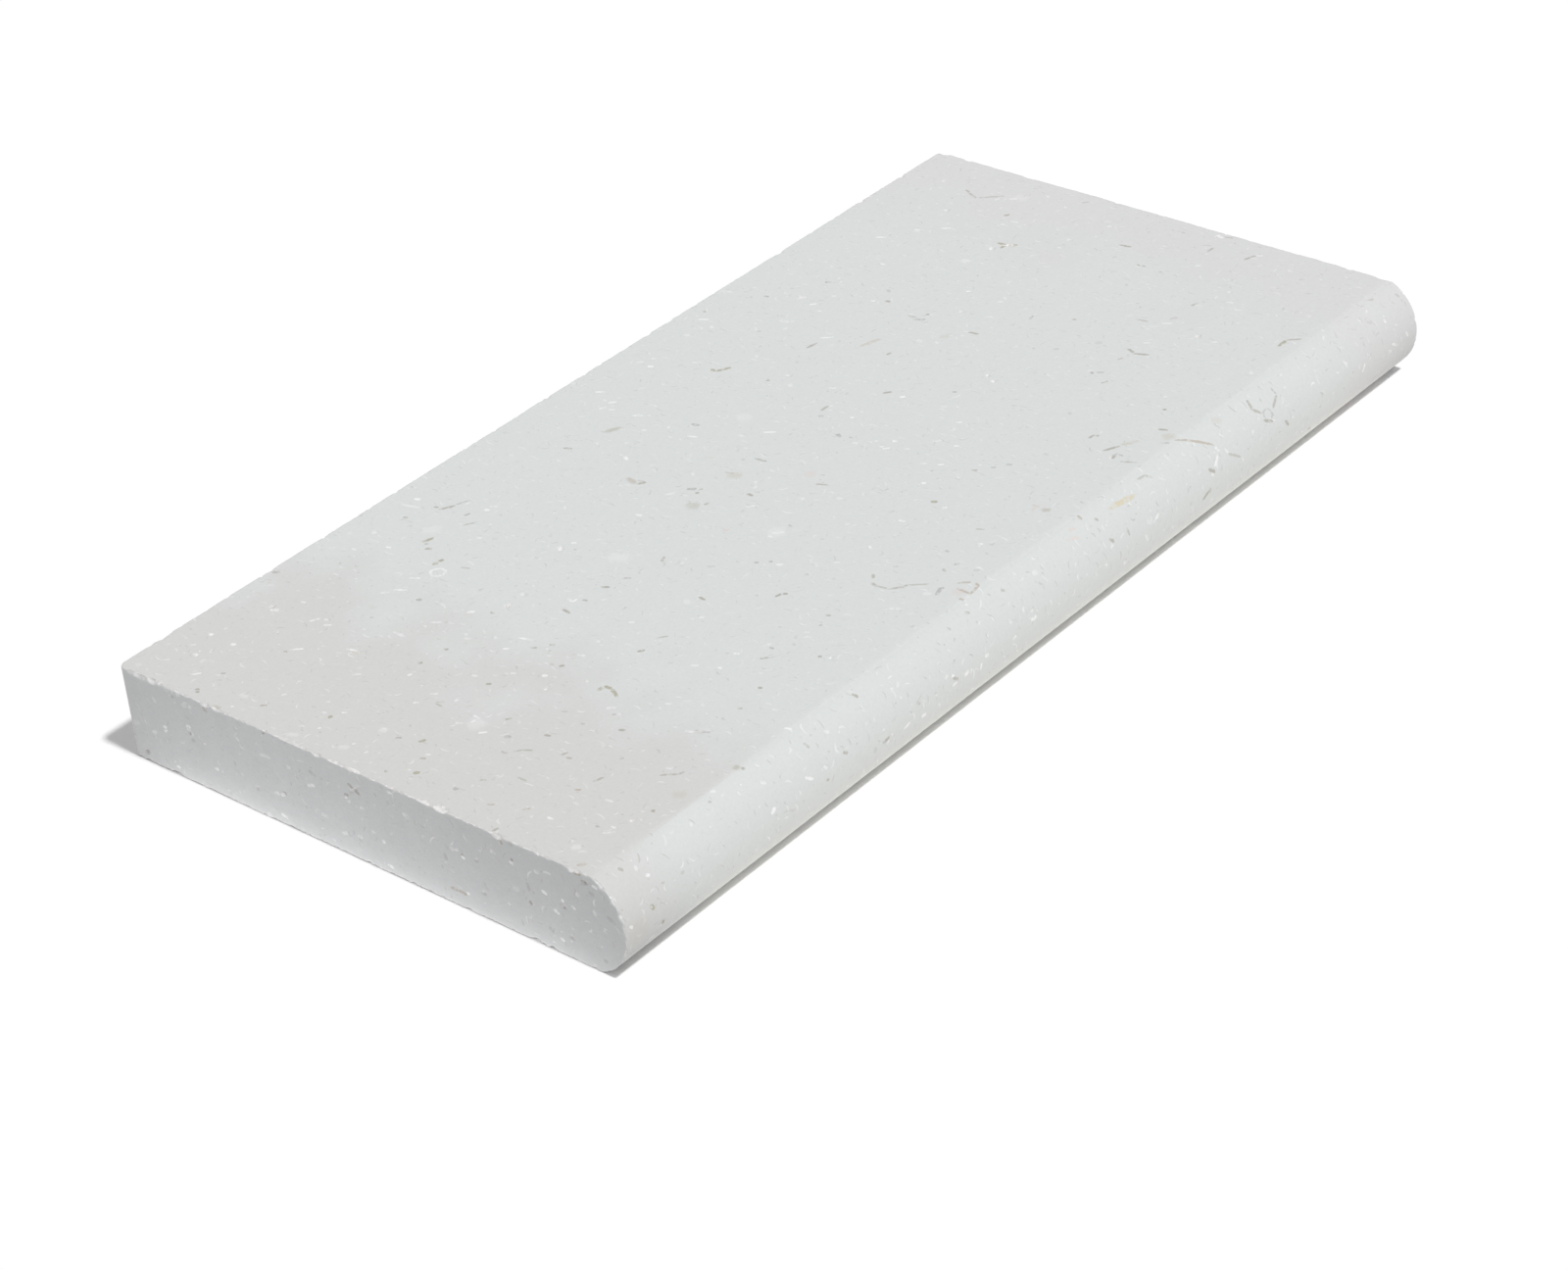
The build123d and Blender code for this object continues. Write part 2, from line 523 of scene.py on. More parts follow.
def marks_seen(slab):
    """The cut shells and pores that stand out: crisp strokes, listed one by one."""
    # Dark strokes that lie on the seen pits are partly cut shell and partly the pits' painted shade
    dark = (
        (1126, 460, 17, -5), (1182, 438, 9, 1), (1234, 479, 6, 3), (1228, 510, 6, -9), (1135, 468, 4, -5),
        (1151, 356, 6, 4), (1156, 361, 17, 1), (1273, 409, 5, 9), (1290, 429, 9, 1), (1312, 429, 3, 5),
        (1113, 380, 2, 1), (1187, 418, 3, 0), (1111, 447, 6, -3), (516, 734, 6, -1), (556, 750, 5, 1),
        (632, 745, 6, 0), (503, 848, 6, -3), (448, 520, 17, -4), (474, 526, 5, -2), (434, 555, 3, 0),
        (434, 560, 7, 0), (276, 619, 4, 0), (516, 618, 4, 0), (575, 457, 8, 1), (650, 494, 9, -2),
        (710, 503, 3, 0), (763, 504, 5, 2), (614, 599, 9, 0), (713, 609, 6, 3), (791, 609, 6, -3),
        (796, 606, 8, 0), (575, 622, 7, 4), (651, 665, 7, -2), (835, 670, 3, 0), (774, 702, 4, 0),
        (870, 708, 5, 3), (632, 745, 5, 0), (757, 784, 3, 0), (665, 827, 3, 1), (902, 401, 7, -1),
        (1143, 250, 11, 2), (1183, 277, 2, 1), (1270, 265, 5, -2), (1025, 220, 5, -1), (842, 288, 6, 0),
        (904, 307, 4, 1), (824, 355, 9, -5), (989, 339, 9, 2), (945, 321, 3, 0), (200, 703, 3, 1),
        (200, 706, 3, 0), (427, 677, 4, -1), (453, 662, 4, 1), (496, 698, 5, 0), (571, 680, 5, -1),
        (393, 787, 2, 0), (782, 388, 3, 0), (861, 768, 4, 0), (902, 758, 6, -6),
    )
    middling = (
        (1144, 471, 16, 1), (1234, 478, 6, 3), (1117, 529, 4, 2), (1133, 550, 4, 3), (1313, 347, 15, -1),
        (1278, 418, 10, 4), (1299, 416, 4, -13), (1117, 444, 4, 1), (524, 767, 10, -2), (534, 765, 10, 1),
        (512, 767, 6, 2), (573, 770, 7, -2), (578, 773, 5, 1), (605, 798, 11, -5), (631, 886, 5, 2),
        (633, 774, 3, 0), (443, 517, 4, 1), (412, 528, 4, 0), (378, 630, 3, 0), (501, 625, 3, 1),
        (838, 419, 7, -5), (771, 468, 12, 3), (719, 515, 4, -2), (833, 494, 11, 1), (805, 536, 3, 1),
        (675, 573, 3, -5), (770, 574, 4, 0), (785, 573, 3, 0), (595, 612, 4, 1), (843, 628, 5, 0),
        (776, 672, 9, -1), (786, 661, 3, 1), (753, 723, 4, 0), (674, 791, 19, -1), (693, 790, 5, -2),
        (844, 796, 2, 0), (972, 400, 4, 0), (992, 480, 6, 0), (974, 576, 5, -1), (994, 582, 5, 0),
        (962, 581, 3, 2), (891, 586, 0, 4), (890, 595, 5, 4), (907, 601, 15, -2), (921, 599, 5, -2),
        (1022, 602, 3, 0), (985, 625, 4, 0), (965, 562, 3, 1), (1206, 237, 3, 1), (1232, 257, 6, -4),
        (1274, 263, 7, -2), (1160, 270, 9, 2), (1216, 312, 6, -3), (1094, 326, 4, 0), (1124, 391, 6, -2),
        (986, 194, 3, 2), (988, 196, 8, 6), (905, 362, 4, -2), (542, 661, 6, 0), (561, 658, 5, 0),
        (226, 687, 4, 0), (290, 665, 3, 0), (266, 720, 6, 0), (404, 753, 5, 0), (429, 774, 5, 0),
        (608, 843, 3, 1), (780, 302, 4, 1), (718, 318, 2, 0), (936, 717, 3, 1), (973, 692, 5, 1),
    )
    thin = (
        (1185, 452, 8, 0), (1254, 463, 12, 3), (1139, 463, 7, 2), (1150, 539, 3, 7), (1297, 396, 6, 7),
        (1120, 380, 7, 0), (1141, 367, 5, -2), (1161, 326, 10, 2), (1161, 489, 7, -4), (1168, 485, 8, 2),
        (490, 796, 6, 0), (528, 793, 9, 4), (592, 738, 5, 1), (465, 515, 17, -5), (472, 536, 14, -3),
        (471, 579, 8, 1), (651, 490, 8, 2), (739, 482, 10, 1), (711, 500, 6, -1), (722, 578, 7, 0),
        (636, 590, 8, 0), (671, 651, 11, -2), (785, 671, 5, -1), (895, 598, 12, 3), (926, 597, 22, -1),
        (912, 578, 4, 0), (1027, 474, 6, 0), (996, 540, 9, 0), (996, 202, 29, -2), (927, 322, 8, 2),
        (1051, 326, 3, -4), (1104, 207, 7, -1), (1250, 242, 8, 1), (444, 717, 10, -1), (445, 718, 6, 3),
        (1075, 356, 5, 0), (1012, 477, 4, 0), (1033, 414, 4, 0), (867, 446, 3, 1), (820, 758, 6, 5),
        (772, 338, 4, 0), (625, 729, 3, 0), (723, 818, 3, 0), (574, 726, 5, 0), (836, 638, 3, 0),
    )
    white = (
        (1240, 456, 4, 4), (1177, 534, 6, -10), (1243, 464, -3, 12), (1412, 326, 2, 3), (1435, 339, 2, 4),
        (1421, 351, 5, 1), (1393, 371, -2, 8), (659, 893, 4, 0), (643, 946, 3, 1), (663, 959, 5, -5),
        (483, 730, 6, 3), (481, 737, 4, -2), (488, 748, 9, -1), (559, 834, 5, 2), (401, 602, 14, 0),
        (418, 590, 10, 0), (394, 558, 5, 1), (316, 634, 11, -3), (331, 632, 4, 1), (331, 638, 7, 0),
        (611, 417, 7, -1), (621, 411, 9, -1), (646, 424, 10, 0), (702, 445, 9, 1), (779, 441, 12, 0),
        (846, 415, 4, -1), (761, 517, 12, -1), (649, 525, 6, 1), (583, 554, 5, 0), (792, 576, 7, 0),
        (579, 611, 6, 3), (585, 614, 3, -3), (733, 681, 3, 1), (801, 743, 7, 1), (822, 794, 8, 1),
        (868, 426, 3, 0), (898, 456, 4, 0), (901, 458, 7, -1), (976, 431, 6, 0), (974, 455, 4, 0),
        (957, 474, 6, 0), (962, 518, 4, 0), (917, 531, 6, 1), (998, 555, 5, 0), (887, 557, 2, 3),
        (1280, 261, 8, 0), (960, 233, 11, 0), (894, 242, 11, 0), (934, 234, 4, 1), (899, 269, 4, 1),
        (889, 307, 4, 0), (826, 311, 7, -1), (834, 317, 4, 1), (836, 345, 14, -1), (197, 688, 8, -1),
        (296, 663, 14, -1), (324, 743, 3, 0), (353, 662, 11, 2), (530, 651, 13, 2), (514, 662, 5, 0),
        (416, 689, 4, -1), (422, 717, 5, 0), (349, 727, 5, 0), (236, 721, 2, 0), (608, 400, 9, 0),
        (712, 326, 12, 0), (923, 744, 6, -7), (973, 700, 4, -5), (1001, 683, 1, -6), (1034, 653, 3, -4),
    )
    broad_white = (
        (423, 509, 6, 1), (495, 520, 4, 1), (637, 466, 3, 3), (749, 667, 5, 0), (788, 830, 3, -6),
        (919, 405, 4, 0), (911, 450, 4, 0), (941, 493, 3, 0), (236, 657, 4, 1), (198, 667, 3, 2),
        (214, 647, 3, 1), (554, 689, 4, 1), (661, 374, 5, 0), (941, 731, 4, -2), (972, 690, 2, 0),
        (985, 690, 4, -6), (1006, 669, 3, 0), (1053, 633, 5, -4), (477, 625, 7, -1), (276, 622, 9, 1),
        (1242, 240, 6, 3),
    )
    pale = (
        (1250, 458, 4, 5), (1134, 558, 3, -4), (1169, 546, 3, 5), (1165, 350, 9, 0), (1236, 349, 6, 0),
        (1371, 369, 4, 3), (1417, 358, 3, 1), (624, 843, 4, 2), (615, 850, 13, -1), (465, 738, 6, 0),
        (618, 816, 7, 2), (620, 722, 8, 0), (529, 783, 3, 1), (388, 605, 10, -1), (411, 515, 16, 3),
        (500, 517, 10, 0), (487, 549, 5, 0), (308, 614, 4, 1), (359, 560, 4, 1), (621, 418, 7, 0),
        (655, 439, 4, 0), (753, 444, 7, 1), (678, 505, 12, -2), (784, 547, 4, 1), (788, 544, 13, -1),
        (713, 630, 5, 0), (705, 679, 8, 0), (780, 659, 7, -2), (821, 645, 5, 0), (642, 635, 5, 0),
        (699, 746, 8, 1), (619, 723, 6, 0), (679, 718, 6, 0), (789, 724, 5, 1), (841, 747, 5, 0),
        (725, 808, 5, -1), (841, 782, 3, 2), (776, 798, 5, 1), (846, 396, 7, 0), (870, 452, 5, 0),
        (893, 450, 3, 0), (924, 458, 4, 0), (939, 473, 7, 0), (863, 535, 4, 0), (851, 574, 6, 0),
        (996, 579, 4, 0), (1030, 632, 2, 4), (908, 621, 4, 0), (915, 621, 3, 1), (1130, 231, 4, 0),
        (1220, 271, 5, 0), (1253, 298, 2, 0), (1250, 308, 8, 1), (1186, 330, 10, 0), (1159, 271, 6, -1),
        (961, 185, 3, 0), (1015, 204, 5, -1), (1030, 203, 8, 0), (1021, 229, 4, 0), (1032, 226, 7, 1),
        (1000, 269, 3, 0), (849, 302, 4, 0), (1007, 323, 6, 1), (1018, 308, 5, 0), (945, 322, 8, -1),
        (194, 658, 6, 0), (166, 673, 7, 0), (288, 709, 4, -1), (304, 695, 3, 0), (360, 759, 2, 0),
        (372, 768, 3, -1), (469, 738, 3, 0), (434, 770, 5, 0), (305, 741, 5, 0), (590, 668, 7, 1),
        (402, 645, 11, 5), (440, 635, 10, 0), (360, 688, 8, 0), (440, 708, 7, 0), (464, 715, 4, -1),
        (521, 687, 5, 0), (736, 297, 12, 1), (707, 370, 8, 0), (665, 366, 4, 0), (650, 370, 6, -1),
        (699, 342, 5, 0), (965, 693, 2, -4), (991, 687, 1, -4), (910, 702, 1, 4), (482, 689, 5, 1),
    )
    olive = (
        (428, 757, 6, -2), (422, 789, 6, -1), (665, 924, 3, 4), (674, 943, 4, -2), (442, 576, 5, -2),
        (448, 573, 4, -2), (950, 512, 6, 0), (1305, 353, 8, -6), (1019, 248, 8, 2), (1021, 253, 6, -3),
        (1027, 250, 11, 0), (358, 666, 8, 0), (726, 377, 4, 2), (730, 379, 16, -4), (335, 732, 4, -1),
        (432, 553, 10, -4), (617, 700, 7, 3), (624, 703, 6, 8), (610, 705, 7, -5),
    )
    brown = (
        (1199, 449, 40, 5), (1100, 526, 4, 4), (498, 821, 7, 0), (534, 826, 7, -1), (587, 806, 6, 0),
        (645, 837, 3, 0), (589, 883, 10, -1), (978, 595, 12, -1), (996, 595, 3, 3), (999, 597, -9, 9),
        (990, 606, -12, -5), (979, 611, 4, 1), (674, 791, 6, 0),
    )
    grey = (
        (515, 752, 6, 0), (463, 804, 4, 2), (278, 584, 8, 0), (425, 612, 5, 0), (706, 433, 7, 1),
        (854, 443, 4, 3), (701, 499, 10, 0), (709, 746, 16, 1), (956, 607, 3, -6), (958, 601, 5, -1),
        (933, 326, 11, 0), (836, 425, 4, -1),
    )
    end_white = (
        (167, 742, 3, 0), (168, 746, 3, 0), (190, 741, 4, 1), (220, 785, 3, 0), (179, 708, 4, 2),
        (181, 782, 3, 1), (314, 801, 3, 1), (317, 801, 4, 1), (351, 813, 3, 1), (354, 817, 3, 1),
        (280, 809, 6, 1), (286, 811, 5, 0), (288, 831, 6, 4), (395, 808, 4, 1), (390, 858, 3, 2),
        (396, 882, 6, 4), (471, 874, 3, 2), (520, 879, 4, 3), (553, 909, 5, 4), (565, 928, 6, 5),
        (583, 925, 4, 3), (572, 958, 4, 2), (604, 904, 5, 3), (580, 888, 4, 1), (622, 916, 3, 4),
        (573, 918, 2, 2), (477, 912, 2, 0),
    )
    end_pale = (
        (191, 744, 3, 1), (265, 770, 10, 3), (185, 720, 5, 0), (136, 737, 6, 1), (192, 721, 3, 1),
        (328, 830, 7, 4), (350, 850, 5, 0), (365, 853, 5, 2), (293, 782, 3, 2), (500, 868, 5, 3),
        (545, 889, 4, 1), (588, 912, 2, 2), (606, 985, 2, 1), (156, 747, 4, 0), (293, 783, 2, 0),
    )
    end_dark = (
        (149, 766, 3, 3), (354, 799, 13, 12), (287, 809, 5, 1), (351, 811, 4, 0), (593, 899, 6, 3),
        (268, 746, 1, 3), (193, 748, 2, 1), (471, 872, 2, 1), (521, 877, 2, 1), (541, 920, 2, 3),
    )
    end_brown = ((460, 905, 8, 4), (468, 909, 8, 4), (207, 722, 4, 5), (507, 855, 5, 6), (586, 890, 6, 3))
    end_grey = (
        (453, 870, 3, 8), (538, 901, 2, 8), (560, 946, 5, 5), (601, 911, 5, 3), (617, 980, 3, 2),
        (619, 935, 9, 8), (395, 818, 2, 3), (196, 755, 3, 1), (315, 786, 7, 6), (174, 709, 3, 3),
    )
    pink = ((1089, 551, 12, -3), (1091, 541, 6, -2), (738, 542, 7, -2), (474, 627, 5, 0))
    tan = ((1144, 454, 16, -4), (878, 353, 20, -7))
    ochre, grey_oval, white_oval = (1132, 519, 26, -14), (1290, 423, 8, 0), (440, 584, 14, 0)
    return marks_from(slab, (
        (SHELL, 0.88, 0.85, 0.0, dark),
        (SHELL, 0.70, 0.78, 0.0, middling),
        (SHELL, 0.54, 0.68, 0.0, thin),
        (CHALK, 0.66, 0.75, 0.0, white),
        (CHALK, 0.72, 1.05, 0.0, broad_white),
        (CHALK, 0.42, 0.80, 0.0, pale),
        (OLIVE, 0.85, 1.05, 0.0, olive),
        (BROWN, 0.70, 0.75, 0.0, brown),
        (GREY, 0.80, 1.15, 0.0, grey),
        (OCHRE, 0.85, 1.40, 0.0, (ochre,)),
        (PINK, 0.60, 0.80, 0.0, pink),
        (TAN, 0.80, 1.30, 0.0, tan),
        (GREY, 0.60, 2.90, 0.20, (grey_oval,)),
        (CHALK, 0.60, 3.20, 0.20, (white_oval,)),
        (CHALK, 1.00, 0.90, 0.0, end_white),
        (CHALK, 0.55, 1.10, 0.0, end_pale),
        (SHELL, 0.80, 0.90, 0.0, end_dark),
        (BROWN, 0.70, 0.90, 0.0, end_brown),
        (GREY, 0.45, 1.10, 0.0, end_grey),
    ))


def stains_seen(slab):
    """Soft stains and pale clouds, which lie under the crisp marks."""
    return marks_from(slab, (
        (TAN, 0.55, 3.2, 0.0, ((1186, 447, 12, -3), (742, 485, 15, 0), (686, 811, 15, 0))),
        (TAN, 0.40, 2.0, 0.0, ((1236, 429, 10, 0), (959, 344, 9, -1), (591, 882, 7, 0))),
        (TAN, 0.35, 7.0, 0.0, ((646, 955, 10, -8),)),
        (OLIVE, 0.35, 3.4, 0.0, ((700, 516, 14, 0),)),
        (OLIVE, 0.50, 1.8, 0.0, ((617, 441, 17, -5), (750, 784, 3, -2), (217, 721, 7, 2))),
        (BROWN, 0.50, 1.8, 0.0, ((640, 488, 9, 5), (1063, 521, 9, -1))),
        (CHALK, 0.22, 4.5, 0.0, ((480, 742, 13, -6), (619, 569, 24, 0), (785, 543, 15, 0))),
        (CHALK, 0.18, 4.0, 0.0, ((752, 426, 14, 0), (430, 541, 20, -1), (1036, 200, 12, 4))),
        (CHALK, 0.30, 2.2, 0.0, ((583, 865, 10, -1), (981, 266, 9, 0), (389, 744, 5, 2))),
        (CHALK, 0.25, 1.6, 0.0, ((290, 749, 15, 1), (345, 762, 12, 1), (245, 708, 8, 4))),
        (PINK, 0.32, 3.6, 0.0, ((821, 484, 11, 0), (1052, 519, 17, -1), (974, 604, 8, 0))),
        (GREY, 0.40, 1.8, 0.0, ((518, 859, 5, 4),)),
    ))


def pits_seen(slab):
    """Open pits that stand out: pixel of the photograph, turn, half sizes and depth."""
    seen = (
        (518, 618, 10, 1.8, 1.3, 1.1), (666, 926, 60, 1.8, 1.1, 0.9), (676, 942, 140, 2.0, 1.2, 0.9),
        (278, 619, 20, 1.4, 1.1, 0.8), (646, 837, 10, 1.2, 0.9, 0.9), (1029, 250, 60, 4.4, 1.1, 0.7),
        (717, 746, 50, 4.6, 0.9, 0.6), (151, 767, 140, 1.8, 1.3, 1.1), (596, 901, 155, 2.2, 0.9, 0.8),
        (361, 806, 140, 5.0, 0.8, 0.6), (362, 666, 50, 2.4, 0.9, 0.7), (989, 297, 40, 1.6, 0.9, 0.6),
    )
    pits = []
    for x, y, *sizes in seen:
        chart, place = seen_place(slab, x, y)
        pits.append(Pit(chart, *place, *sizes))
    return pits


def pits_spread(slab, count):
    """More pits at seeded places on both faces, the nose, the bed, the heel and the ends."""
    draw = np.random.default_rng(PIT_SEED)
    onward = 4 * slab.heel_y + PIT_ONWARD  # over the face, the nose and the bed to the heel
    spread = []
    for number in range(count):
        half_length = draw.uniform(*PIT_LENGTHS)
        angle = draw.uniform(0, 180)
        half_width = half_length * draw.uniform(*PIT_WIDTHS)
        depth = draw.uniform(*PIT_DEPTHS)
        chart = PIT_CHARTS[number % len(PIT_CHARTS)]
        if chart == WRAP:
            along = draw.uniform(PIT_OFF_SIDE, slab.length - PIT_OFF_SIDE)
            across = draw.uniform(PIT_OFF_HEEL, onward)
        else:
            along = draw.uniform(PIT_OFF_SIDE - slab.heel_y, slab.heel_y - PIT_OFF_SIDE)
            across = draw.uniform(PIT_OFF_FACE, 2 * slab.half - PIT_OFF_FACE)
        spread.append(Pit(chart, along, across, angle, half_length, half_width, depth))
    return spread


def nearest_arris_step(slab, y, z):
    """The step round the section whose point is nearest to a place on an end."""
    loop_y, loop_z = loop_place(slab, np.arange(LOOP))
    return int(np.argmin(np.hypot(loop_y - y, loop_z - z)))


def chips_seen(slab):
    """Larger chips on the arrises.

    Those of the near end have a pixel of the photograph, half length, half width, depth and
    lean. The rest have their place along the heel's upper arris or round the far end.
    """
    near_end = (
        (139, 689, 8.5, 3.5, 1.0, 30), (154, 696, 4.0, 3.0, 1.5, 25), (181, 707, 2.0, 1.2, 0.8, 20),
        (209, 722, 2.0, 2.2, 1.6, 30), (221, 725, 4.0, 1.8, 1.0, -10), (230, 729, 1.6, 1.2, 0.9, 10),
        (269, 746, 1.1, 0.9, 1.0, 20), (295, 755, 9.0, 3.5, 0.6, -32), (306, 761, 4.5, 2.5, 0.8, -30),
        (322, 770, 1.5, 1.6, 1.2, 5), (344, 780, 5.0, 1.8, 0.9, -15), (360, 786, 5.0, 2.6, 0.8, -32),
        (381, 796, 1.2, 1.0, 0.9, 10), (397, 804, 4.0, 1.5, 0.8, -20), (433, 819, 5.5, 2.8, 1.2, -25),
        (449, 829, 4.5, 4.0, 1.7, -22), (506, 854, 3.5, 3.0, 1.3, 28), (550, 870, 1.6, 1.2, 0.9, 0),
        (559, 875, 1.4, 1.1, 0.8, 10), (582, 888, 3.0, 1.8, 1.1, 15), (608, 900, 2.5, 1.5, 0.9, 10),
        (613, 906, 2.2, 1.6, 1.1, 20), (625, 921, 2.5, 1.4, 0.9, 15), (151, 772, 2.5, 1.5, 1.0, 10),
        (180, 783, 4.0, 2.0, 1.4, 10), (299, 843, 2.5, 1.5, 1.0, 0), (333, 857, 2.0, 1.2, 0.8, 0),
        (546, 953, 3.5, 2.4, 1.7, 0),
    )
    far_end = (
        (3, 5.0, 3.0, 1.7, 0), (20, 3.0, 2.0, 1.3, 10), (62, 6.0, 2.0, 0.8, 20), (120, 2.6, 1.6, 1.0, 0),
        (185, 3.5, 2.0, 0.9, -20), (285, 3.6, 2.4, 1.2, 0),
    )
    heel = (
        (30, 5.0, 1.6, 0.8, 20), (96, 3.4, 1.8, 1.0, 0), (180, 2.0, 1.4, 0.8, 10),
        (250, 2.4, 1.6, 1.0, 15), (365, 3.0, 1.8, 1.0, -10), (470, 4.0, 2.2, 1.2, 0),
        (540, 2.2, 1.4, 0.9, 20), (575, 2.6, 2.0, 1.1, 0),
    )
    chips = []
    for x, y, *sizes in near_end:
        chart, (across_slab, height) = seen_place(slab, x, y)
        if chart != NEAR_END:
            across_slab, height = lattice_point(slab, *chart_place(slab, across_slab, height))[1:]
        chips.append(Chip(CAP, nearest_arris_step(slab, across_slab, height), *sizes))
    steps_per_mm = FACE / (slab.heel_y - slab.crease_y)
    rows_per_mm = ALONG / slab.length
    chips += [Chip(CAP + ALONG, place * steps_per_mm, *sizes) for place, *sizes in far_end]
    chips += [Chip(CAP + place * rows_per_mm, 0, *sizes) for place, *sizes in heel]
    return chips


def chips_spread(count):
    """Small flakes at seeded places along the heel's two long arrises and round both ends."""
    draw = np.random.default_rng(FLAKE_SEED)
    along = draw.uniform(CAP, CAP + ALONG, count)
    around = draw.uniform(0, LOOP, count)
    line = draw.integers(0, 5, count)
    near, far = np.full(count, CAP), np.full(count, CAP + ALONG)
    upper, lower = np.zeros(count), np.full(count, MIRROR)
    row = np.choose(line, (along, along, near, far, near))
    step = np.choose(line, (upper, lower, around, around, around))
    half_length = FLAKE_LEAST + FLAKE_MORE * draw.power(FLAKE_POWER, count) ** 2
    half_width = np.maximum(half_length * draw.uniform(*FLAKE_WIDTHS, count), FLAKE_LEAST)
    depth = FLAKE_SHALLOWEST + half_width * draw.uniform(*FLAKE_DEPTHS, count)
    lean = draw.uniform(-FLAKE_LEAN, FLAKE_LEAN, count)
    return [Chip(*values) for values in zip(row, step, half_length, half_width, depth, lean)]


def arris_axes(slab, row, step, nudge=0.5):
    """A point of an arris, the direction out of it, along it and across it."""
    ahead = (row, step + nudge) if row in (CAP, CAP + ALONG) else (row + nudge, step)
    place = lattice_point(slab, np.float64(row), np.float64(step))
    along = lattice_point(slab, np.float64(ahead[0]), np.float64(ahead[1])) - place
    along /= np.linalg.norm(along)
    normal = outward(slab, place[None])[0]
    normal -= along * (normal @ along)
    normal /= np.linalg.norm(normal)
    return place, normal, along, np.cross(along, normal)


def flake_ball(slab, chip):
    """A flake: its centre, its shape, its radius and depth, its place and its reach.

    It is a ball whose cap has the flake's width and depth, set outside the arris, leaning over
    one of its faces and drawn out along it.
    """
    place, normal, along, across = arris_axes(slab, chip.row, chip.step)
    lean = math.radians(chip.lean)
    tipped = math.cos(lean) * normal + math.sin(lean) * across
    radius = (chip.half_width**2 + chip.depth**2) / (2 * chip.depth)
    drawn_out = chip.half_length / chip.half_width
    shape = np.stack([tipped, np.cross(tipped, along), along / drawn_out]) / radius
    centre = place + tipped * (radius - chip.depth)
    return centre, shape, (radius, chip.depth), place, max(chip.half_length, chip.half_width)


def pit_ball(slab, pit):
    """A pit, in the same five values: an ellipsoid centred on the face and turned in it."""
    normal, ahead, across = chart_axes(slab, pit.chart, pit.along, pit.across)
    turn = math.radians(pit.angle)
    long_way = math.cos(turn) * ahead + math.sin(turn) * across
    short_way = math.cos(turn) * across - math.sin(turn) * ahead
    place = chart_point(slab, pit.chart, pit.along, pit.across)
    shape = np.stack([long_way / pit.half_length, short_way / pit.half_width, normal / pit.depth])
    sizes = min(pit.depth, pit.half_width), pit.depth
    return place, shape, sizes, place, max(pit.half_length, pit.half_width)


def breaks_from(slab, chips, pits):
    """Flakes and pits as ellipsoids that bite into the slab.

    Each shape turns a point into units of its half sizes.
    """
    balls = [flake_ball(slab, chip) for chip in chips] + [pit_ball(slab, pit) for pit in pits]
    return Breaks(*(np.array(values) for values in zip(*balls)))


# Cells of four sizes


def arris_distance(slab, point):
    """How far a point of a face is from the nearest arris, where a second face begins."""
    return -np.sort(np.stack(face_distances(slab, point)), axis=0)[1]


def mark_coordinates(mark, place):
    """Places on a chart in a mark's own coordinates, which are 1 at its ends and sides."""
    turn = math.radians(mark.angle)
    axes = np.array([(math.cos(turn), math.sin(turn)), (-math.sin(turn), math.cos(turn))])
    return (place - (mark.along, mark.across)) @ axes.T / (mark.half_length, mark.half_width)


def cells_near(slab, mark):
    """The rows and the steps of cells among which a mark lies."""
    if mark.chart == NEAR_END:
        return slice(0, CAP), slice(None)
    if mark.chart == FAR_END:
        return slice(ROWS - CAP, ROWS), slice(None)
    reach = mark.half_length + mark.half_width + CELL_ROOM
    first = chart_place(slab, max(mark.along - reach, 0.0), mark.across - reach)
    last = chart_place(slab, min(mark.along + reach, slab.length), mark.across + reach)
    return slice(int(first[0]), math.ceil(last[0])), slice(int(first[1]), math.ceil(last[1]))


def wanted_levels(slab, breaks, marks):
    """How coarse each cell may be: 0 keeps it, 3 lets it join a block of 8 by 8.

    It grows with the distance to the nearest arris. Breaks ask for 0, creases and marks for 1,
    and the nose for 2. A small break on an arris makes do with the arris's own cells.
    """
    row, step = np.meshgrid(np.arange(ROWS) + 0.5, np.arange(LOOP) + 0.5, indexing="ij")
    centre = lattice_point(slab, row, step).astype(np.float32)
    wanted = np.searchsorted(FINE_REACH, arris_distance(slab, centre))
    between = (row > CAP) & (row < ROWS - CAP)
    turning = between & (step > FACE) & (step < FACE + NOSE)
    wanted[turning] = np.minimum(wanted[turning], 2)
    crease = np.minimum(np.abs(step - FACE), np.abs(step - FACE - NOSE)) < CREASE_STEPS
    wanted[crease & between] = np.minimum(wanted[crease & between], 1)
    unrolled = np.stack([centre[..., 0] + slab.length / 2, loop_length(slab, step)], axis=-1)
    places = np.where(between[..., None], unrolled, centre[..., 1:]).astype(np.float32)
    for mark in marks:
        cells = cells_near(slab, mark)
        room = 1 + MARK_MARGIN / np.array([mark.half_length, mark.half_width])
        near = (np.abs(mark_coordinates(mark, places[cells])) < room).all(axis=-1)
        wanted[cells][near] = np.minimum(wanted[cells][near], 1)
    for place, reach in zip(breaks.places, breaks.reach):
        if reach < SMALL_BREAK and arris_distance(slab, place) < ARRIS_BAND:
            continue
        wanted[np.sum((centre - place) ** 2, axis=-1) < (reach + BREAK_MARGIN) ** 2] = 0
    return wanted


def grown(cells):
    """Cells together with their eight neighbours, round the section and up to the last rows."""
    rows = cells.copy()
    rows[1:] |= cells[:-1]
    rows[:-1] |= cells[1:]
    return rows | np.roll(rows, 1, axis=1) | np.roll(rows, -1, axis=1)


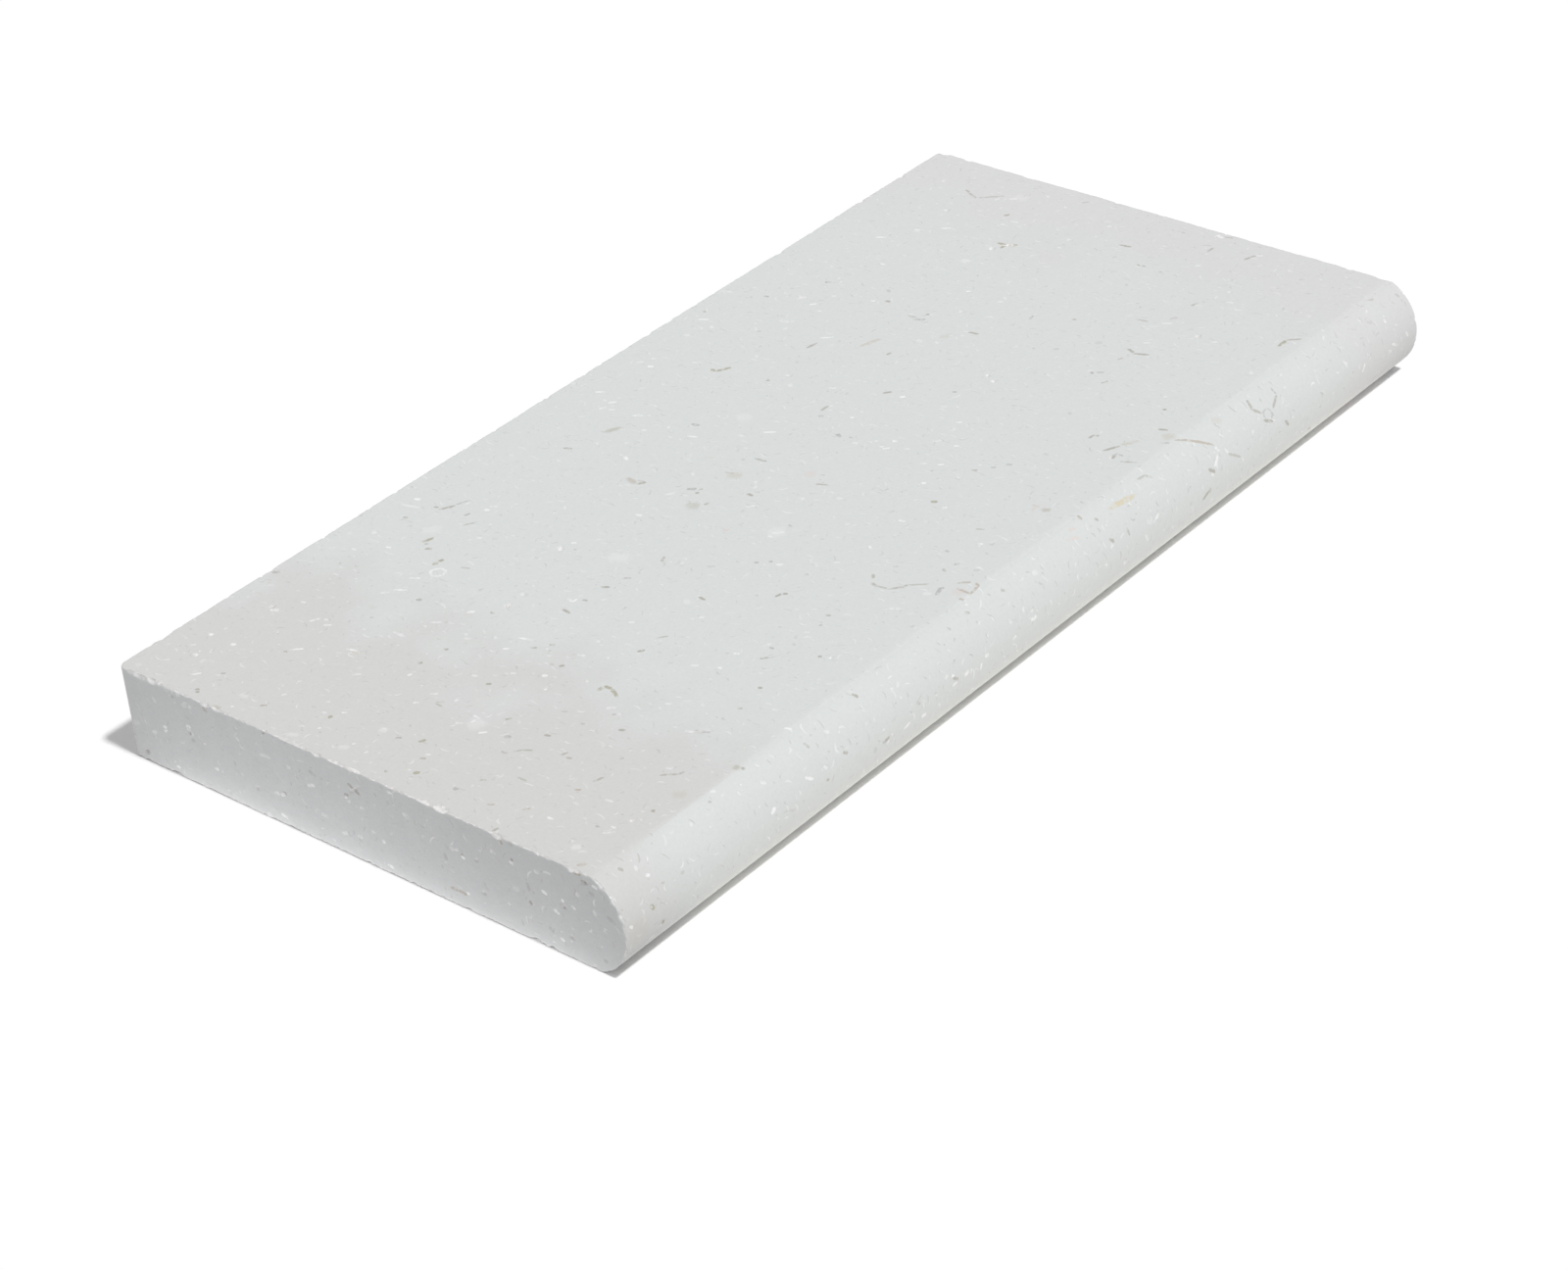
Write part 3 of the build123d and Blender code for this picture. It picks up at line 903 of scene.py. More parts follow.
def cut_blocks(wanted):
    """Which blocks of 2, 4 and 8 cells are cut in four, with neighbours at most one size apart.

    The first and the last row of blocks meet their mirror image on the midway line, so they
    are cut alike.
    """
    cut = {}
    for level in range(1, COARSEST + 1):
        size = 2**level
        tiles = wanted.reshape(ROWS // size, size, LOOP // size, size)
        cut[level] = tiles.min(axis=(1, 3)) < level
        if level > 1:
            finer = grown(cut[level - 1])
            cut[level] |= finer.reshape(ROWS // size, 2, LOOP // size, 2).any(axis=(1, 3))
        opposite = (MIRROR // size - 1 - np.arange(LOOP // size)) % (LOOP // size)
        for row in (0, -1):
            cut[level][row] |= cut[level][row][opposite]
    return cut


def leaf_cells(cut):
    """Row, step and size of every block that isn't cut further."""
    exists = np.ones_like(cut[COARSEST])
    leaves = []
    for level in range(COARSEST, -1, -1):
        leaf = exists & ~cut[level] if level else exists
        row, step = np.nonzero(leaf)
        leaves.append(np.stack([row, step, np.ones_like(row)], axis=1) * 2**level)
        if level:
            exists = np.repeat(np.repeat(exists & cut[level], 2, axis=0), 2, axis=1)
    return np.concatenate(leaves)


def lattice_faces(leaves):
    """Blocks as four-sided faces, or as a fan of triangles where a neighbour is finer.

    A block's corners run up the section first, so that its face points outwards. A corner is
    a row and a step.
    """
    size = leaves[:, 2, None, None]
    corners = leaves[:, None, :2] + size * np.array([(0, 0), (0, 1), (1, 1), (1, 0)])
    used = np.zeros((ROWS + 1, LOOP), bool)
    used[corners[..., 0], corners[..., 1] % LOOP] = True
    following = np.roll(corners, -1, axis=1)
    middles = (corners + following) // 2
    halved = used[middles[..., 0], middles[..., 1] % LOOP] & (leaves[:, 2, None] > 1)
    fanned = halved.any(axis=1)
    centre = np.repeat((leaves[:, None, :2] + size // 2), 4, axis=1)
    whole = np.stack([centre, corners, following], axis=2)[fanned[:, None] & ~halved]
    first = np.stack([centre, corners, middles], axis=2)[halved]
    second = np.stack([centre, middles, following], axis=2)[halved]
    return Lattice(corners[~fanned], np.concatenate([whole, first, second]))


def split_touching_poles(lattice):
    """Faces on the midway lines, cut into triangles so that those without area can go."""
    touching = ((lattice.quads[..., 0] == 0) | (lattice.quads[..., 0] == ROWS)).any(axis=1)
    edge = lattice.quads[touching]
    triangles = np.concatenate([lattice.triangles, edge[:, (0, 1, 2)], edge[:, (0, 2, 3)]])
    return Lattice(lattice.quads[~touching], triangles)


def numbered(slab, lattice):
    """Gives each lattice corner a vertex number, the same one where points of a pole coincide.

    Returns the rows and steps of the vertices, and the faces as vertex numbers.
    """
    pole = np.arange(LOOP)
    place = np.round(lattice_point(slab, np.zeros(LOOP), pole), 6)
    first, inverse = np.unique(place, axis=0, return_index=True, return_inverse=True)[1:]
    shared = first[inverse.ravel()]

    def key(corners):
        row, step = corners[..., 0], corners[..., 1] % LOOP
        step = np.where((row == 0) | (row == ROWS), shared[step], step)
        return row * LOOP + step

    quads, triangles = key(lattice.quads), key(lattice.triangles)
    keys, numbers = np.unique(np.concatenate([quads.ravel(), triangles.ravel()]), return_inverse=True)
    numbers = numbers.ravel()
    quads = numbers[: quads.size].reshape(-1, 4)
    triangles = numbers[quads.size :].reshape(-1, 3)
    return keys // LOOP, keys % LOOP, quads, triangles


def has_area(triangles):
    """Triangles whose three vertices differ."""
    first, second, third = triangles.T
    return (first != second) & (second != third) & (third != first)


# Wear


def worn_points(slab, sharp, breaks, least, most):
    """The sharp slab's points drawn in to the worn surface, and how deep each one went.

    A point walks inwards by its signed distance to the worn slab, again and again, which
    brings it on to the surface. The arris radius swells and shrinks along the arris by
    smooth noise, and every break is cut out of the solid. The depth leaves out what the
    crease's rounding and the ground nose take off all along.
    """
    inward = -outward(slab, sharp)
    lengthwise = sharp * (1.0, 0.0, 0.0)
    crease = 0.45 + 0.25 * soft_noise(lengthwise, 12.0, seed=8)
    ground = 0.12 + 0.08 * soft_noise(lengthwise, 48.0, seed=9) + 0.04 * soft_noise(sharp, 14.0, seed=10)
    swing = 0.5 + 0.38 * soft_noise(sharp, 23.0, seed=3) + 0.42 * soft_noise(sharp, 6.5, seed=4)
    round_nose = sharp[:, 1] < slab.crease_y
    radius = (least + (most - least) * np.clip(swing, 0, 1)) * np.where(round_nose, NOSE_WEAR, 1.0)
    ragged = np.maximum(soft_noise(sharp, 2.6, seed=5) - RAGGED_FROM, 0)
    ragged = ragged * np.where(round_nose, RAGGED_ON_NOSE, RAGGED_ELSEWHERE)
    rough = 0.65 * soft_noise(sharp, 1.6, seed=6) + 0.35 * soft_noise(sharp, 0.8, seed=11)
    vertex, which = [], []
    for number, (place, reach) in enumerate(zip(breaks.places, breaks.reach)):
        near = np.flatnonzero(np.sum((sharp - place) ** 2, axis=1) < (reach + BREAK_MARGIN) ** 2)
        vertex.append(near)
        which.append(np.full(len(near), number))
    vertex, which = np.concatenate(vertex), np.concatenate(which)
    radii, depths = breaks.depths[which].T
    tooth = rough[vertex] * np.minimum(TOOTH_SHARE * depths, TOOTH_MOST)
    walked = np.zeros(len(sharp))
    for _ in range(WALK_STEPS):
        point = sharp + inward * walked[:, None]
        left = eased_distance(slab, point, slab.corner, radius + ragged, crease, ground)
        local = np.einsum("kij,kj->ki", breaks.shapes[which], point[vertex] - breaks.centres[which])
        bite = (1 - np.linalg.norm(local, axis=1)) * radii + tooth
        np.maximum.at(left, vertex, bite)
        walked += np.maximum(left, 0)
    profiled = sharp[:, 1] < slab.crease_y + CREASE_BAND
    return sharp + inward * walked[:, None], walked - np.where(profiled, crease * 0.5 + ground, 0.0)


# Charts, marks and the mesh


def chart_of(rows):
    """The chart of each face, from its corners' rows."""
    near = (rows <= CAP).all(axis=1)
    far = (rows >= CAP + ALONG).all(axis=1)
    return np.where(near, NEAR_END, np.where(far, FAR_END, WRAP))


def chart_coordinates(slab, corners):
    """Where each face corner lies on its face's chart, in millimetres."""
    rows, steps = corners[..., 0], corners[..., 1]
    point = lattice_point(slab, rows, steps)
    unrolled = np.stack([point[..., 0] + slab.length / 2, loop_length(slab, steps)], axis=-1)
    on_wrap = (chart_of(rows) == WRAP)[:, None, None]
    return np.where(on_wrap, unrolled, point[..., 1:])


def packed_map(slab, chart, place):
    """The charts laid side by side in a unit square: the wrap, then the two ends upright."""
    side = loop_length(slab, LOOP) + 2 * MAP_GAP
    width = 2 * slab.heel_y
    across = place[..., 1] + slab.length + 2 * MAP_GAP
    up = place[..., 0] + slab.heel_y + MAP_GAP
    up = up + np.where(chart == FAR_END, width + MAP_GAP, 0.0)[:, None]
    on_wrap = (chart == WRAP)[:, None, None]
    return np.where(on_wrap, place + MAP_GAP, np.stack([across, up], axis=-1)) / side


def stamped(chart, place, marks):
    """The nearest mark's own coordinates, its ring and its tint, for the faces that it touches.

    The coordinates are 1 at the mark's ends and sides, and the ring is their third number.
    They are linear over the chart, so a coarse face carries a fine mark exactly.
    """
    count, sides = place.shape[:2]
    coordinates = np.full((count, sides, 3), NO_MARK)
    coordinates[..., 2] = 0.0
    tint = np.zeros((count, sides, 4))
    nearest = np.full(count, np.inf)
    middle = place.mean(axis=1)
    spread = np.linalg.norm(place - middle[:, None], axis=2).max(axis=1)
    for mark in marks:
        half = np.array([mark.half_length, mark.half_width])
        off_centre = np.abs(middle - (mark.along, mark.across)).max(axis=1)
        near = off_centre < MARK_SEARCH * half.max() + spread
        close = np.flatnonzero((chart == mark.chart) & near)
        local = np.abs(mark_coordinates(mark, middle[close]))
        away = np.linalg.norm(np.maximum(local - 1, 0) * half, axis=1)
        inside = (local * half < MARK_FADE * half + spread[close, None]).all(axis=1)
        touched = inside & (away < nearest[close])
        faces = close[touched]
        nearest[faces] = away[touched]
        coordinates[faces, :, :2] = mark_coordinates(mark, place[faces])
        coordinates[faces, :, 2] = mark.ring
        tint[faces] = (*mark.tint, mark.strength)
    return coordinates, tint


def corner_values(slab, lattice, marks, stains):
    """Map, marks, stains, sawn ends and hidden faces for all corners, four-sided faces first."""
    parts = []
    for corners in lattice:
        chart = chart_of(corners[..., 0])
        place = chart_coordinates(slab, corners)
        hidden = (chart == FAR_END) | ((chart == WRAP) & (corners[..., 1].mean(axis=1) > FACE + NOSE))
        flags = [np.repeat(flag[:, None], corners.shape[1], axis=1) for flag in (chart != WRAP, hidden)]
        layers = *stamped(chart, place, marks), *stamped(chart, place, stains)
        values = packed_map(slab, chart, place), *layers, *flags
        parts.append([value.reshape(-1, *value.shape[2:]) for value in values])
    return [np.concatenate(pair) for pair in zip(*parts)]


def filled_mesh(name, points, quads, triangles):
    """A mesh from points in millimetres and faces as vertex numbers, four-sided ones first."""
    mesh = bpy.data.meshes.new(name)
    mesh.vertices.add(len(points))
    mesh.vertices.foreach_set("co", (points * MM).astype(np.float32).ravel())
    corners = np.concatenate([quads.ravel(), triangles.ravel()])
    mesh.loops.add(len(corners))
    mesh.loops.foreach_set("vertex_index", corners.astype(np.int32))
    starts = np.concatenate([np.arange(len(quads)) * 4, quads.size + np.arange(len(triangles)) * 3])
    mesh.polygons.add(len(starts))
    mesh.polygons.foreach_set("loop_start", starts.astype(np.int32))
    mesh.update(calc_edges=True)
    return mesh


def slab_mesh(name, sizes):
    """The worn slab as a mesh, with its map and the attributes that its stone reads."""
    slab = slab_from(sizes)
    marks = marks_seen(slab)
    chips = chips_seen(slab) + chips_spread(sizes.chips)
    pits = pits_seen(slab) + pits_spread(slab, sizes.pits)
    breaks = breaks_from(slab, chips, pits)
    lattice = lattice_faces(leaf_cells(cut_blocks(wanted_levels(slab, breaks, marks))))
    lattice = split_touching_poles(lattice)
    rows, steps, quads, triangles = numbered(slab, lattice)
    kept = has_area(triangles)
    lattice = Lattice(lattice.quads, lattice.triangles[kept])
    sharp = lattice_point(slab, rows, steps)
    points, depth = worn_points(slab, sharp, breaks, sizes.wear_least / MM, sizes.wear_most / MM)
    mesh = filled_mesh(name, points, quads, triangles[kept])

    uv, *stamps, sawn, hidden = corner_values(slab, lattice, marks, stains_seen(slab))
    mark_place, mark_tint, stain_place, stain_tint = stamps
    mesh.uv_layers.new(name="OFBake").uv.foreach_set("vector", uv.astype(np.float32).ravel())
    layers = (
        ("mark_place", "FLOAT_VECTOR", "CORNER", "vector", mark_place),
        ("mark_tint", "FLOAT_COLOR", "CORNER", "color", mark_tint),
        ("stain_place", "FLOAT_VECTOR", "CORNER", "vector", stain_place),
        ("stain_tint", "FLOAT_COLOR", "CORNER", "color", stain_tint),
        ("sawn", "FLOAT", "CORNER", "value", sawn),
        ("hidden", "FLOAT", "CORNER", "value", hidden),
        ("worn", "FLOAT", "POINT", "value", depth),
    )
    for title, kind, domain, field, values in layers:
        layer = mesh.attributes.new(title, kind, domain)
        layer.data.foreach_set(field, values.astype(np.float32).ravel())
    mesh.shade_smooth()
    mesh.set_sharp_from_angle(angle=SHARP_TURN)
    if mesh.validate():
        raise RuntimeError("the slab's mesh had broken faces")
    return mesh


# Node helpers


class Graph:
    """Short calls that add nodes to one node tree and link them."""

    def __init__(self, tree):
        self.tree = tree
        self.count = 0

    def add(self, kind, inputs=None, **settings):
        node = self.tree.nodes.new(kind)
        node.location = (220 * (self.count // 5), -190 * (self.count % 5))
        self.count += 1
        for name, value in settings.items():
            setattr(node, name, value)
        for name, value in (inputs or {}).items():
            self.feed(node.inputs[name], value)
        return node

    def feed(self, socket, value):
        if isinstance(value, bpy.types.NodeSocket):
            self.tree.links.new(value, socket)
        else:
            socket.default_value = value

    def math(self, operation, *values, clamp=False):
        inputs = dict(enumerate(values))
        return self.add("ShaderNodeMath", inputs, operation=operation, use_clamp=clamp).outputs[0]

    def times(self, first, *others):
        """The product of several values."""
        for other in others:
            first = self.math("MULTIPLY", first, other)
        return first

    def vector(self, operation, *values):
        inputs = dict(enumerate(values))
        return self.add("ShaderNodeVectorMath", inputs, operation=operation).outputs[0]

    def scaled(self, vector, factor):
        return self.add("ShaderNodeVectorMath", {0: vector, "Scale": factor}, operation="SCALE").outputs[0]

    def split(self, vector):
        return self.add("ShaderNodeSeparateXYZ", {0: vector}).outputs

    def joined(self, x, y, z):
        return self.add("ShaderNodeCombineXYZ", {0: x, 1: y, 2: z}).outputs[0]

    def remap(self, value, low, high, to_low=0.0, to_high=1.0, shape="SMOOTHSTEP"):
        inputs = {"Value": value, "From Min": low, "From Max": high, "To Min": to_low, "To Max": to_high}
        return self.add("ShaderNodeMapRange", inputs, interpolation_type=shape).outputs[0]

    def between(self, share, low, high):
        """From low at a share of 0 to high at a share of 1, evenly."""
        return self.remap(share, 0.0, 1.0, low, high, "LINEAR")

    def swinging(self, noise, low, high):
        """From low to high, evenly, over the range in which a noise mostly lies."""
        return self.remap(noise, 0.3, 0.7, low, high, "LINEAR")

    def choice(self, factor, first, second):
        """The first value where the factor is 0 and the second where it is 1."""
        return self.add("ShaderNodeMix", {0: factor, 2: first, 3: second}, data_type="FLOAT").outputs[0]

    def mix(self, factor, first, second):
        inputs = {0: factor, 6: first, 7: second}
        return self.add("ShaderNodeMix", inputs, data_type="RGBA").outputs[2]

    def noise(self, vector, size, detail=2.0, roughness=0.5):
        inputs = {"Vector": vector, "Scale": 1.0 / size, "Detail": detail, "Roughness": roughness}
        return self.add("ShaderNodeTexNoise", inputs, noise_dimensions="3D").outputs[0]

    def attribute(self, name, output="Fac"):
        return self.add("ShaderNodeAttribute", attribute_name=name).outputs[output]

    def glow(self, colour, strength):
        return self.add("ShaderNodeEmission", {"Color": four(colour), "Strength": strength}).outputs[0]


def empty_material(name):
    """A material without nodes, and the graph that fills it."""
    material = bpy.data.materials.new(name)
    material.use_nodes = True
    material.node_tree.nodes.clear()
    return material, Graph(material.node_tree)


def four(colour):
    """A colour with its opacity of 1."""
    return (*colour, 1.0)


def shard_group():
    """Bent plates of shell scattered in the stone, where the surface cuts through them.

    Space is shared out among random points. Round each point lies a plate: a disc with a
    random turn, size and strength, bent like a saucer. The mask is that strength inside it.
    """
    tree = bpy.data.node_groups.new("Shell shards", "ShaderNodeTree")
    tree.interface.new_socket("place", in_out="INPUT", socket_type="NodeSocketVector")
    for name in Scatter._fields:
        tree.interface.new_socket(name, in_out="INPUT", socket_type="NodeSocketFloat")
    tree.interface.new_socket("mask", in_out="OUTPUT", socket_type="NodeSocketFloat")
    g = Graph(tree)
    given = g.add("NodeGroupInput").outputs
    moved = g.vector("ADD", given["place"], g.scaled(g.joined(*SEED_SHIFT), given["seed"]))
    cells = g.scaled(moved, g.math("DIVIDE", 1.0, given["spacing"]))
    voronoi = g.add("ShaderNodeTexVoronoi", {"Vector": cells, "Scale": 1.0, "Randomness": 0.9}).outputs
    local = g.scaled(g.vector("SUBTRACT", cells, voronoi["Position"]), given["spacing"])
    chance = g.add("ShaderNodeTexWhiteNoise", {"Vector": voronoi["Position"]}, noise_dimensions="3D")
    size, form, presence = g.split(chance.outputs["Color"])
    turn = g.scaled(voronoi["Color"], 2 * math.pi)
    turned = g.add("ShaderNodeVectorRotate", {"Vector": local, "Rotation": turn}, rotation_type="EULER_XYZ")
    x, y, z = g.split(turned.outputs[0])
    radius = g.times(given["radius"], g.between(g.math("POWER", size, 2.0), 0.3, 1.3))
    wide = g.math("DIVIDE", g.times(y, g.between(form, 1.0, 2.0)), radius)
    flat = g.math("ADD", g.math("POWER", g.math("DIVIDE", x, radius), 2.0), g.math("POWER", wide, 2.0))
    saucer = g.math("SUBTRACT", z, g.times(flat, g.times(radius, given["bend"])))
    high = g.math("DIVIDE", saucer, given["thickness"])
    away = g.math("SQRT", g.math("ADD", flat, g.math("POWER", high, 2.0)))
    inside = g.remap(away, 1.25, 0.65)
    chosen = g.math("LESS_THAN", presence, given["share"])
    strength = g.times(chosen, g.between(form, 0.3, 1.0))
    g.add("NodeGroupOutput", {"mask": g.times(inside, strength)})
    return tree


def shards(g, tree, place, scatter):
    """One scatter of shell plates: its mask."""
    inputs = {"place": place, **scatter._asdict()}
    return g.add("ShaderNodeGroup", inputs, node_tree=tree).outputs["mask"]


def stamped_mask(g, name, wobble, outer, inner):
    """The mask of the mark that a face carries: a blunt dash, or the outline of an oval."""
    place = g.attribute(name + "_place", "Vector")
    ring = g.split(place)[2]
    x, y, _ = g.split(g.vector("ADD", place, wobble))
    long_square, wide_square = g.times(x, x), g.times(y, y)
    blunt = g.math("SQRT", g.math("ADD", g.times(long_square, long_square), wide_square))
    filled = g.remap(blunt, outer, inner)
    oval = g.math("SQRT", g.math("ADD", long_square, wide_square))
    off_line = g.math("ABSOLUTE", g.math("SUBTRACT", oval, 1.0))
    outline = g.remap(g.math("DIVIDE", off_line, g.math("MAXIMUM", ring, 0.01)), 1.3, 0.4)
    shape = g.choice(g.math("GREATER_THAN", ring, 0.005), filled, outline)
    return g.times(shape, g.attribute(name + "_tint", "Alpha"))


def body_colour(g, colours, place, sawn, on_nose):
    """Pale stone, duller toward the near end and neutral toward the far end.

    The turn on the honed face is ragged and on the nose plain. Clouds and grain, stronger on
    the sawn ends, lighten and darken it all.
    """
    x, y, _ = g.split(place)
    ragged_x = g.math("ADD", x, g.swinging(g.noise(place, 45.0), -RAGGED_TURN, RAGGED_TURN))
    # On the honed face the colour turns greige toward the near end; on the nose the greige toward the near
    # end is painted shade
    greige_and_shade = g.choice(on_nose, g.remap(ragged_x, *DULL_FACE), g.remap(x, *GREIGE_NOSE_PAINTED_SHADE))
    colour = g.mix(greige_and_shade, four(colours.body), four(colours.greige))
    colour = g.mix(g.remap(ragged_x, *NEUTRAL_FACE), colour, four(colours.neutral))
    # The sawn ends are painted up to 6% darker toward the nose: painted shade where less light is thrown
    # back
    ends = g.scaled(g.joined(*colours.sawn), g.remap(y, 40.0, -100.0, 1.0, 0.94))
    colour = g.mix(sawn, colour, ends)
    drawn_up = g.vector("MULTIPLY", place, (1.0, 1.0, 0.4))
    cloud = g.math("SUBTRACT", g.noise(drawn_up, 11.0, 3.0, 0.6), 0.5)
    cloud = g.times(cloud, g.between(sawn, 0.018, 0.09))
    grain = g.swinging(g.noise(place, 1.5, 2.0, 0.6), -0.02, 0.02)
    # The nose is painted darker: painted shade
    lightness = g.math("SUBTRACT", 1.0, g.times(on_nose, NOSE_DARKER_PAINTED_SHADE))
    return g.scaled(colour, g.math("ADD", lightness, g.math("ADD", cloud, grain)))


def with_shells(g, colour, colours, place, sawn, on_nose):
    """White and grey shells, small dark pores and rare rust, which show more off the honed face."""
    hidden = g.attribute("hidden")
    seen_more = g.math("ADD", hidden, g.times(on_nose, 0.5), clamp=True)
    white = g.between(g.math("MAXIMUM", sawn, seen_more), 0.44, 0.68)
    tree = shard_group()
    for scatter, strength, tint in (
        (WHITE_SHELLS, white, colours.chalk),
        (GREY_SHELLS, g.between(seen_more, 0.37, 0.62), colours.shell),
        (RUST, 0.22, colours.ochre),
        (PORES, g.between(seen_more, 0.37, 0.75), colours.shell),
    ):
        colour = g.mix(g.times(shards(g, tree, place, scatter), strength), colour, four(tint))
    return colour


def with_marks(g, colour, place):
    """The stains and over them the marks that were placed one by one, with wobbling outlines and gaps."""
    inputs = {"Vector": place, "Scale": 0.7, "Detail": 2.0}
    ripple = g.add("ShaderNodeTexNoise", inputs, noise_dimensions="3D").outputs["Color"]
    wobble = g.scaled(g.vector("SUBTRACT", ripple, (0.5, 0.5, 0.5)), 0.9)
    gaps = g.remap(g.noise(place, 2.2, 1.0), 0.36, 0.52, 0.40, 1.0)
    stain = stamped_mask(g, "stain", wobble, 1.35, 0.25)
    mark = g.times(stamped_mask(g, "mark", wobble, 1.25, 0.65), gaps)
    colour = g.mix(stain, colour, g.attribute("stain_tint", "Color"))
    return g.mix(mark, colour, g.attribute("mark_tint", "Color"))


def with_wear(g, colour, colours, place, worn, broken):
    """Rubbed arrises blushed in patches, crumbled ones chalky, and fresh breaks half white."""
    patches = g.remap(g.noise(place, 5.0), 0.35, 0.6, 0.35, 1.0)
    rubbed = g.times(g.remap(worn, 0.05, 0.30, 0.0, 0.6), patches)
    spots = g.remap(g.noise(place, 2.5), 0.50, 0.62)
    crumbled = g.times(g.remap(worn, 0.1, 0.3, 0.0, 0.7), spots)
    colour = g.mix(rubbed, colour, four(colours.blush))
    colour = g.mix(crumbled, colour, four(colours.chalk))
    return g.mix(g.times(broken, 0.5), colour, four(colours.chalk))


def stone_relief(g, place, sawn):
    """Fine and coarse roughness as a bump in millimetres, stronger on the sawn ends."""
    fine = g.math("SUBTRACT", g.noise(place, 0.9, 2.0, 0.65), 0.5)
    coarse = g.math("SUBTRACT", g.noise(place, 4.0, 2.0, 0.6), 0.5)
    tooth = g.times(fine, g.between(sawn, 0.035, 0.16))
    swell = g.times(coarse, g.between(sawn, 0.03, 0.26))
    height = g.math("ADD", tooth, swell)
    return g.add("ShaderNodeBump", {"Strength": 1.0, "Distance": MM, "Height": height}).outputs[0]


def limestone(colours, slab):
    """Honed shelly limestone: pale body, cut shells, stains, pits and rubbed arrises."""
    material, g = empty_material("honed_limestone")
    place = g.scaled(g.add("ShaderNodeTexCoord").outputs["Object"], 1 / MM)
    sawn = g.attribute("sawn")
    worn = g.attribute("worn")
    beyond = g.remap(g.split(place)[1], slab.crease_y + CREASE_BLUR, slab.crease_y - CREASE_BLUR)
    on_nose = g.times(beyond, g.math("SUBTRACT", 1.0, sawn))
    broken = g.remap(worn, 0.5, 1.2)

    colour = body_colour(g, colours, place, sawn, on_nose)
    colour = with_shells(g, colour, colours, place, sawn, on_nose)
    colour = with_marks(g, colour, place)
    colour = with_wear(g, colour, colours, place, worn, broken)
    rough = g.math("MAXIMUM", sawn, broken)
    honed = g.swinging(g.noise(place, 6.0), 0.52, 0.66)
    roughness = g.math("ADD", honed, g.times(rough, 0.18), clamp=True)
    inputs = {"Base Color": colour, "Roughness": roughness, "Normal": stone_relief(g, place, sawn)}
    shader = g.add("ShaderNodeBsdfPrincipled", {**inputs, "Specular IOR Level": 0.3})
    g.add("ShaderNodeOutputMaterial", {"Surface": shader.outputs[0]})
    return material


# The stage


def seen_directly(g):
    """1 for the rays by which the camera, a mirror or a glass sees a surface."""
    rays = g.add("ShaderNodeLightPath").outputs
    reflected = g.math("MAXIMUM", rays["Is Glossy Ray"], rays["Is Transmission Ray"])
    return g.math("MAXIMUM", rays["Is Camera Ray"], reflected)


def floor_glow(g, away, along, window, reach):
    """A painted glow of the floor beside the slab, in place of light thrown back: it dies down with the
    distance, within soft sides.

    The level is (1 + distance / reach) to the power GLOW_FALL, and 0 on the slab's side.
    """
    outer_low, low, high, outer_high = window
    distance = g.math("DIVIDE", g.math("MAXIMUM", away, 0.0), reach)
    level = g.math("POWER", g.math("ADD", 1.0, distance), GLOW_FALL)
    sides = g.times(g.remap(along, outer_low, low), g.remap(along, outer_high, high))
    return g.times(level, sides, g.math("GREATER_THAN", away, 0.0))


def floor_material(settings, slab):
    """A pale matt floor. The camera and mirror rays see it white, the slab a little darker.

    Close to the near end and to the nose it glows for the slab's diffuse rays: painted light in place of
    light thrown back.
    """
    material, g = empty_material("studio_floor")
    seen = seen_directly(g)
    bounce = four((settings.floor_bounce,) * 3)
    matt = g.add("ShaderNodeBsdfDiffuse", {"Color": g.mix(seen, bounce, four(WHITE))}).outputs[0]
    lights = [g.glow(WHITE, g.times(seen, settings.floor_lift))]
    x, y, _ = g.split(g.scaled(g.add("ShaderNodeTexCoord").outputs["Object"], 1 / MM))
    off_end = g.math("SUBTRACT", -slab.length / 2, x)
    off_nose = g.math("SUBTRACT", slab.crease_y - NOSE_GAP, y)
    bounced = g.add("ShaderNodeLightPath").outputs["Is Diffuse Ray"]
    # The floor glows beside the near end and the nose for diffuse rays only: painted light on the slab's
    # lower sides
    for level, most, tint in (
        (floor_glow(g, off_end, y, END_WINDOW, END_REACH), settings.end_glow, WHITE),
        (floor_glow(g, off_nose, x, NOSE_WINDOW, NOSE_REACH), settings.nose_glow, NOSE_TINT),
    ):
        lights.append(g.glow(tint, g.times(level, bounced, most)))
    for light in lights:
        matt = g.add("ShaderNodeAddShader", {0: matt, 1: light}).outputs[0]
    g.add("ShaderNodeOutputMaterial", {"Surface": matt})
    return material


def floor_mesh(width, cells=8):
    """A flat grid just under the bed: x and y run evenly over the width and z stays level."""
    across = np.linspace(-0.5, 0.5, cells + 1) * width
    x, y = np.meshgrid(across, across)
    points = np.stack([x, y, np.full_like(x, -FLOOR_DROP * MM)], axis=-1).reshape(-1, 3)
    start = (np.arange(cells)[:, None] * (cells + 1) + np.arange(cells)).ravel()
    faces = start[:, None] + np.array([0, 1, cells + 2, cells + 1])
    mesh = bpy.data.meshes.new("studio_floor")
    mesh.from_pydata(points.tolist(), [], faces.tolist())
    return mesh


def white_world(strength):
    """An even white surround: it lights the stone at one strength and shows as white."""
    world = bpy.data.worlds.new("studio_surround")
    world.use_nodes = True
    world.node_tree.nodes.clear()
    g = Graph(world.node_tree)
    level = g.choice(seen_directly(g), strength, 1.0)
    light = g.add("ShaderNodeBackground", {"Color": four(WHITE), "Strength": level})
    g.add("ShaderNodeOutputWorld", {"Surface": light.outputs[0]})
    bpy.context.scene.world = world


def linked(name, data):
    """An object of the scene that holds some data."""
    thing = bpy.data.objects.new(name, data)
    bpy.context.scene.collection.objects.link(thing)
    return thing


# Operators


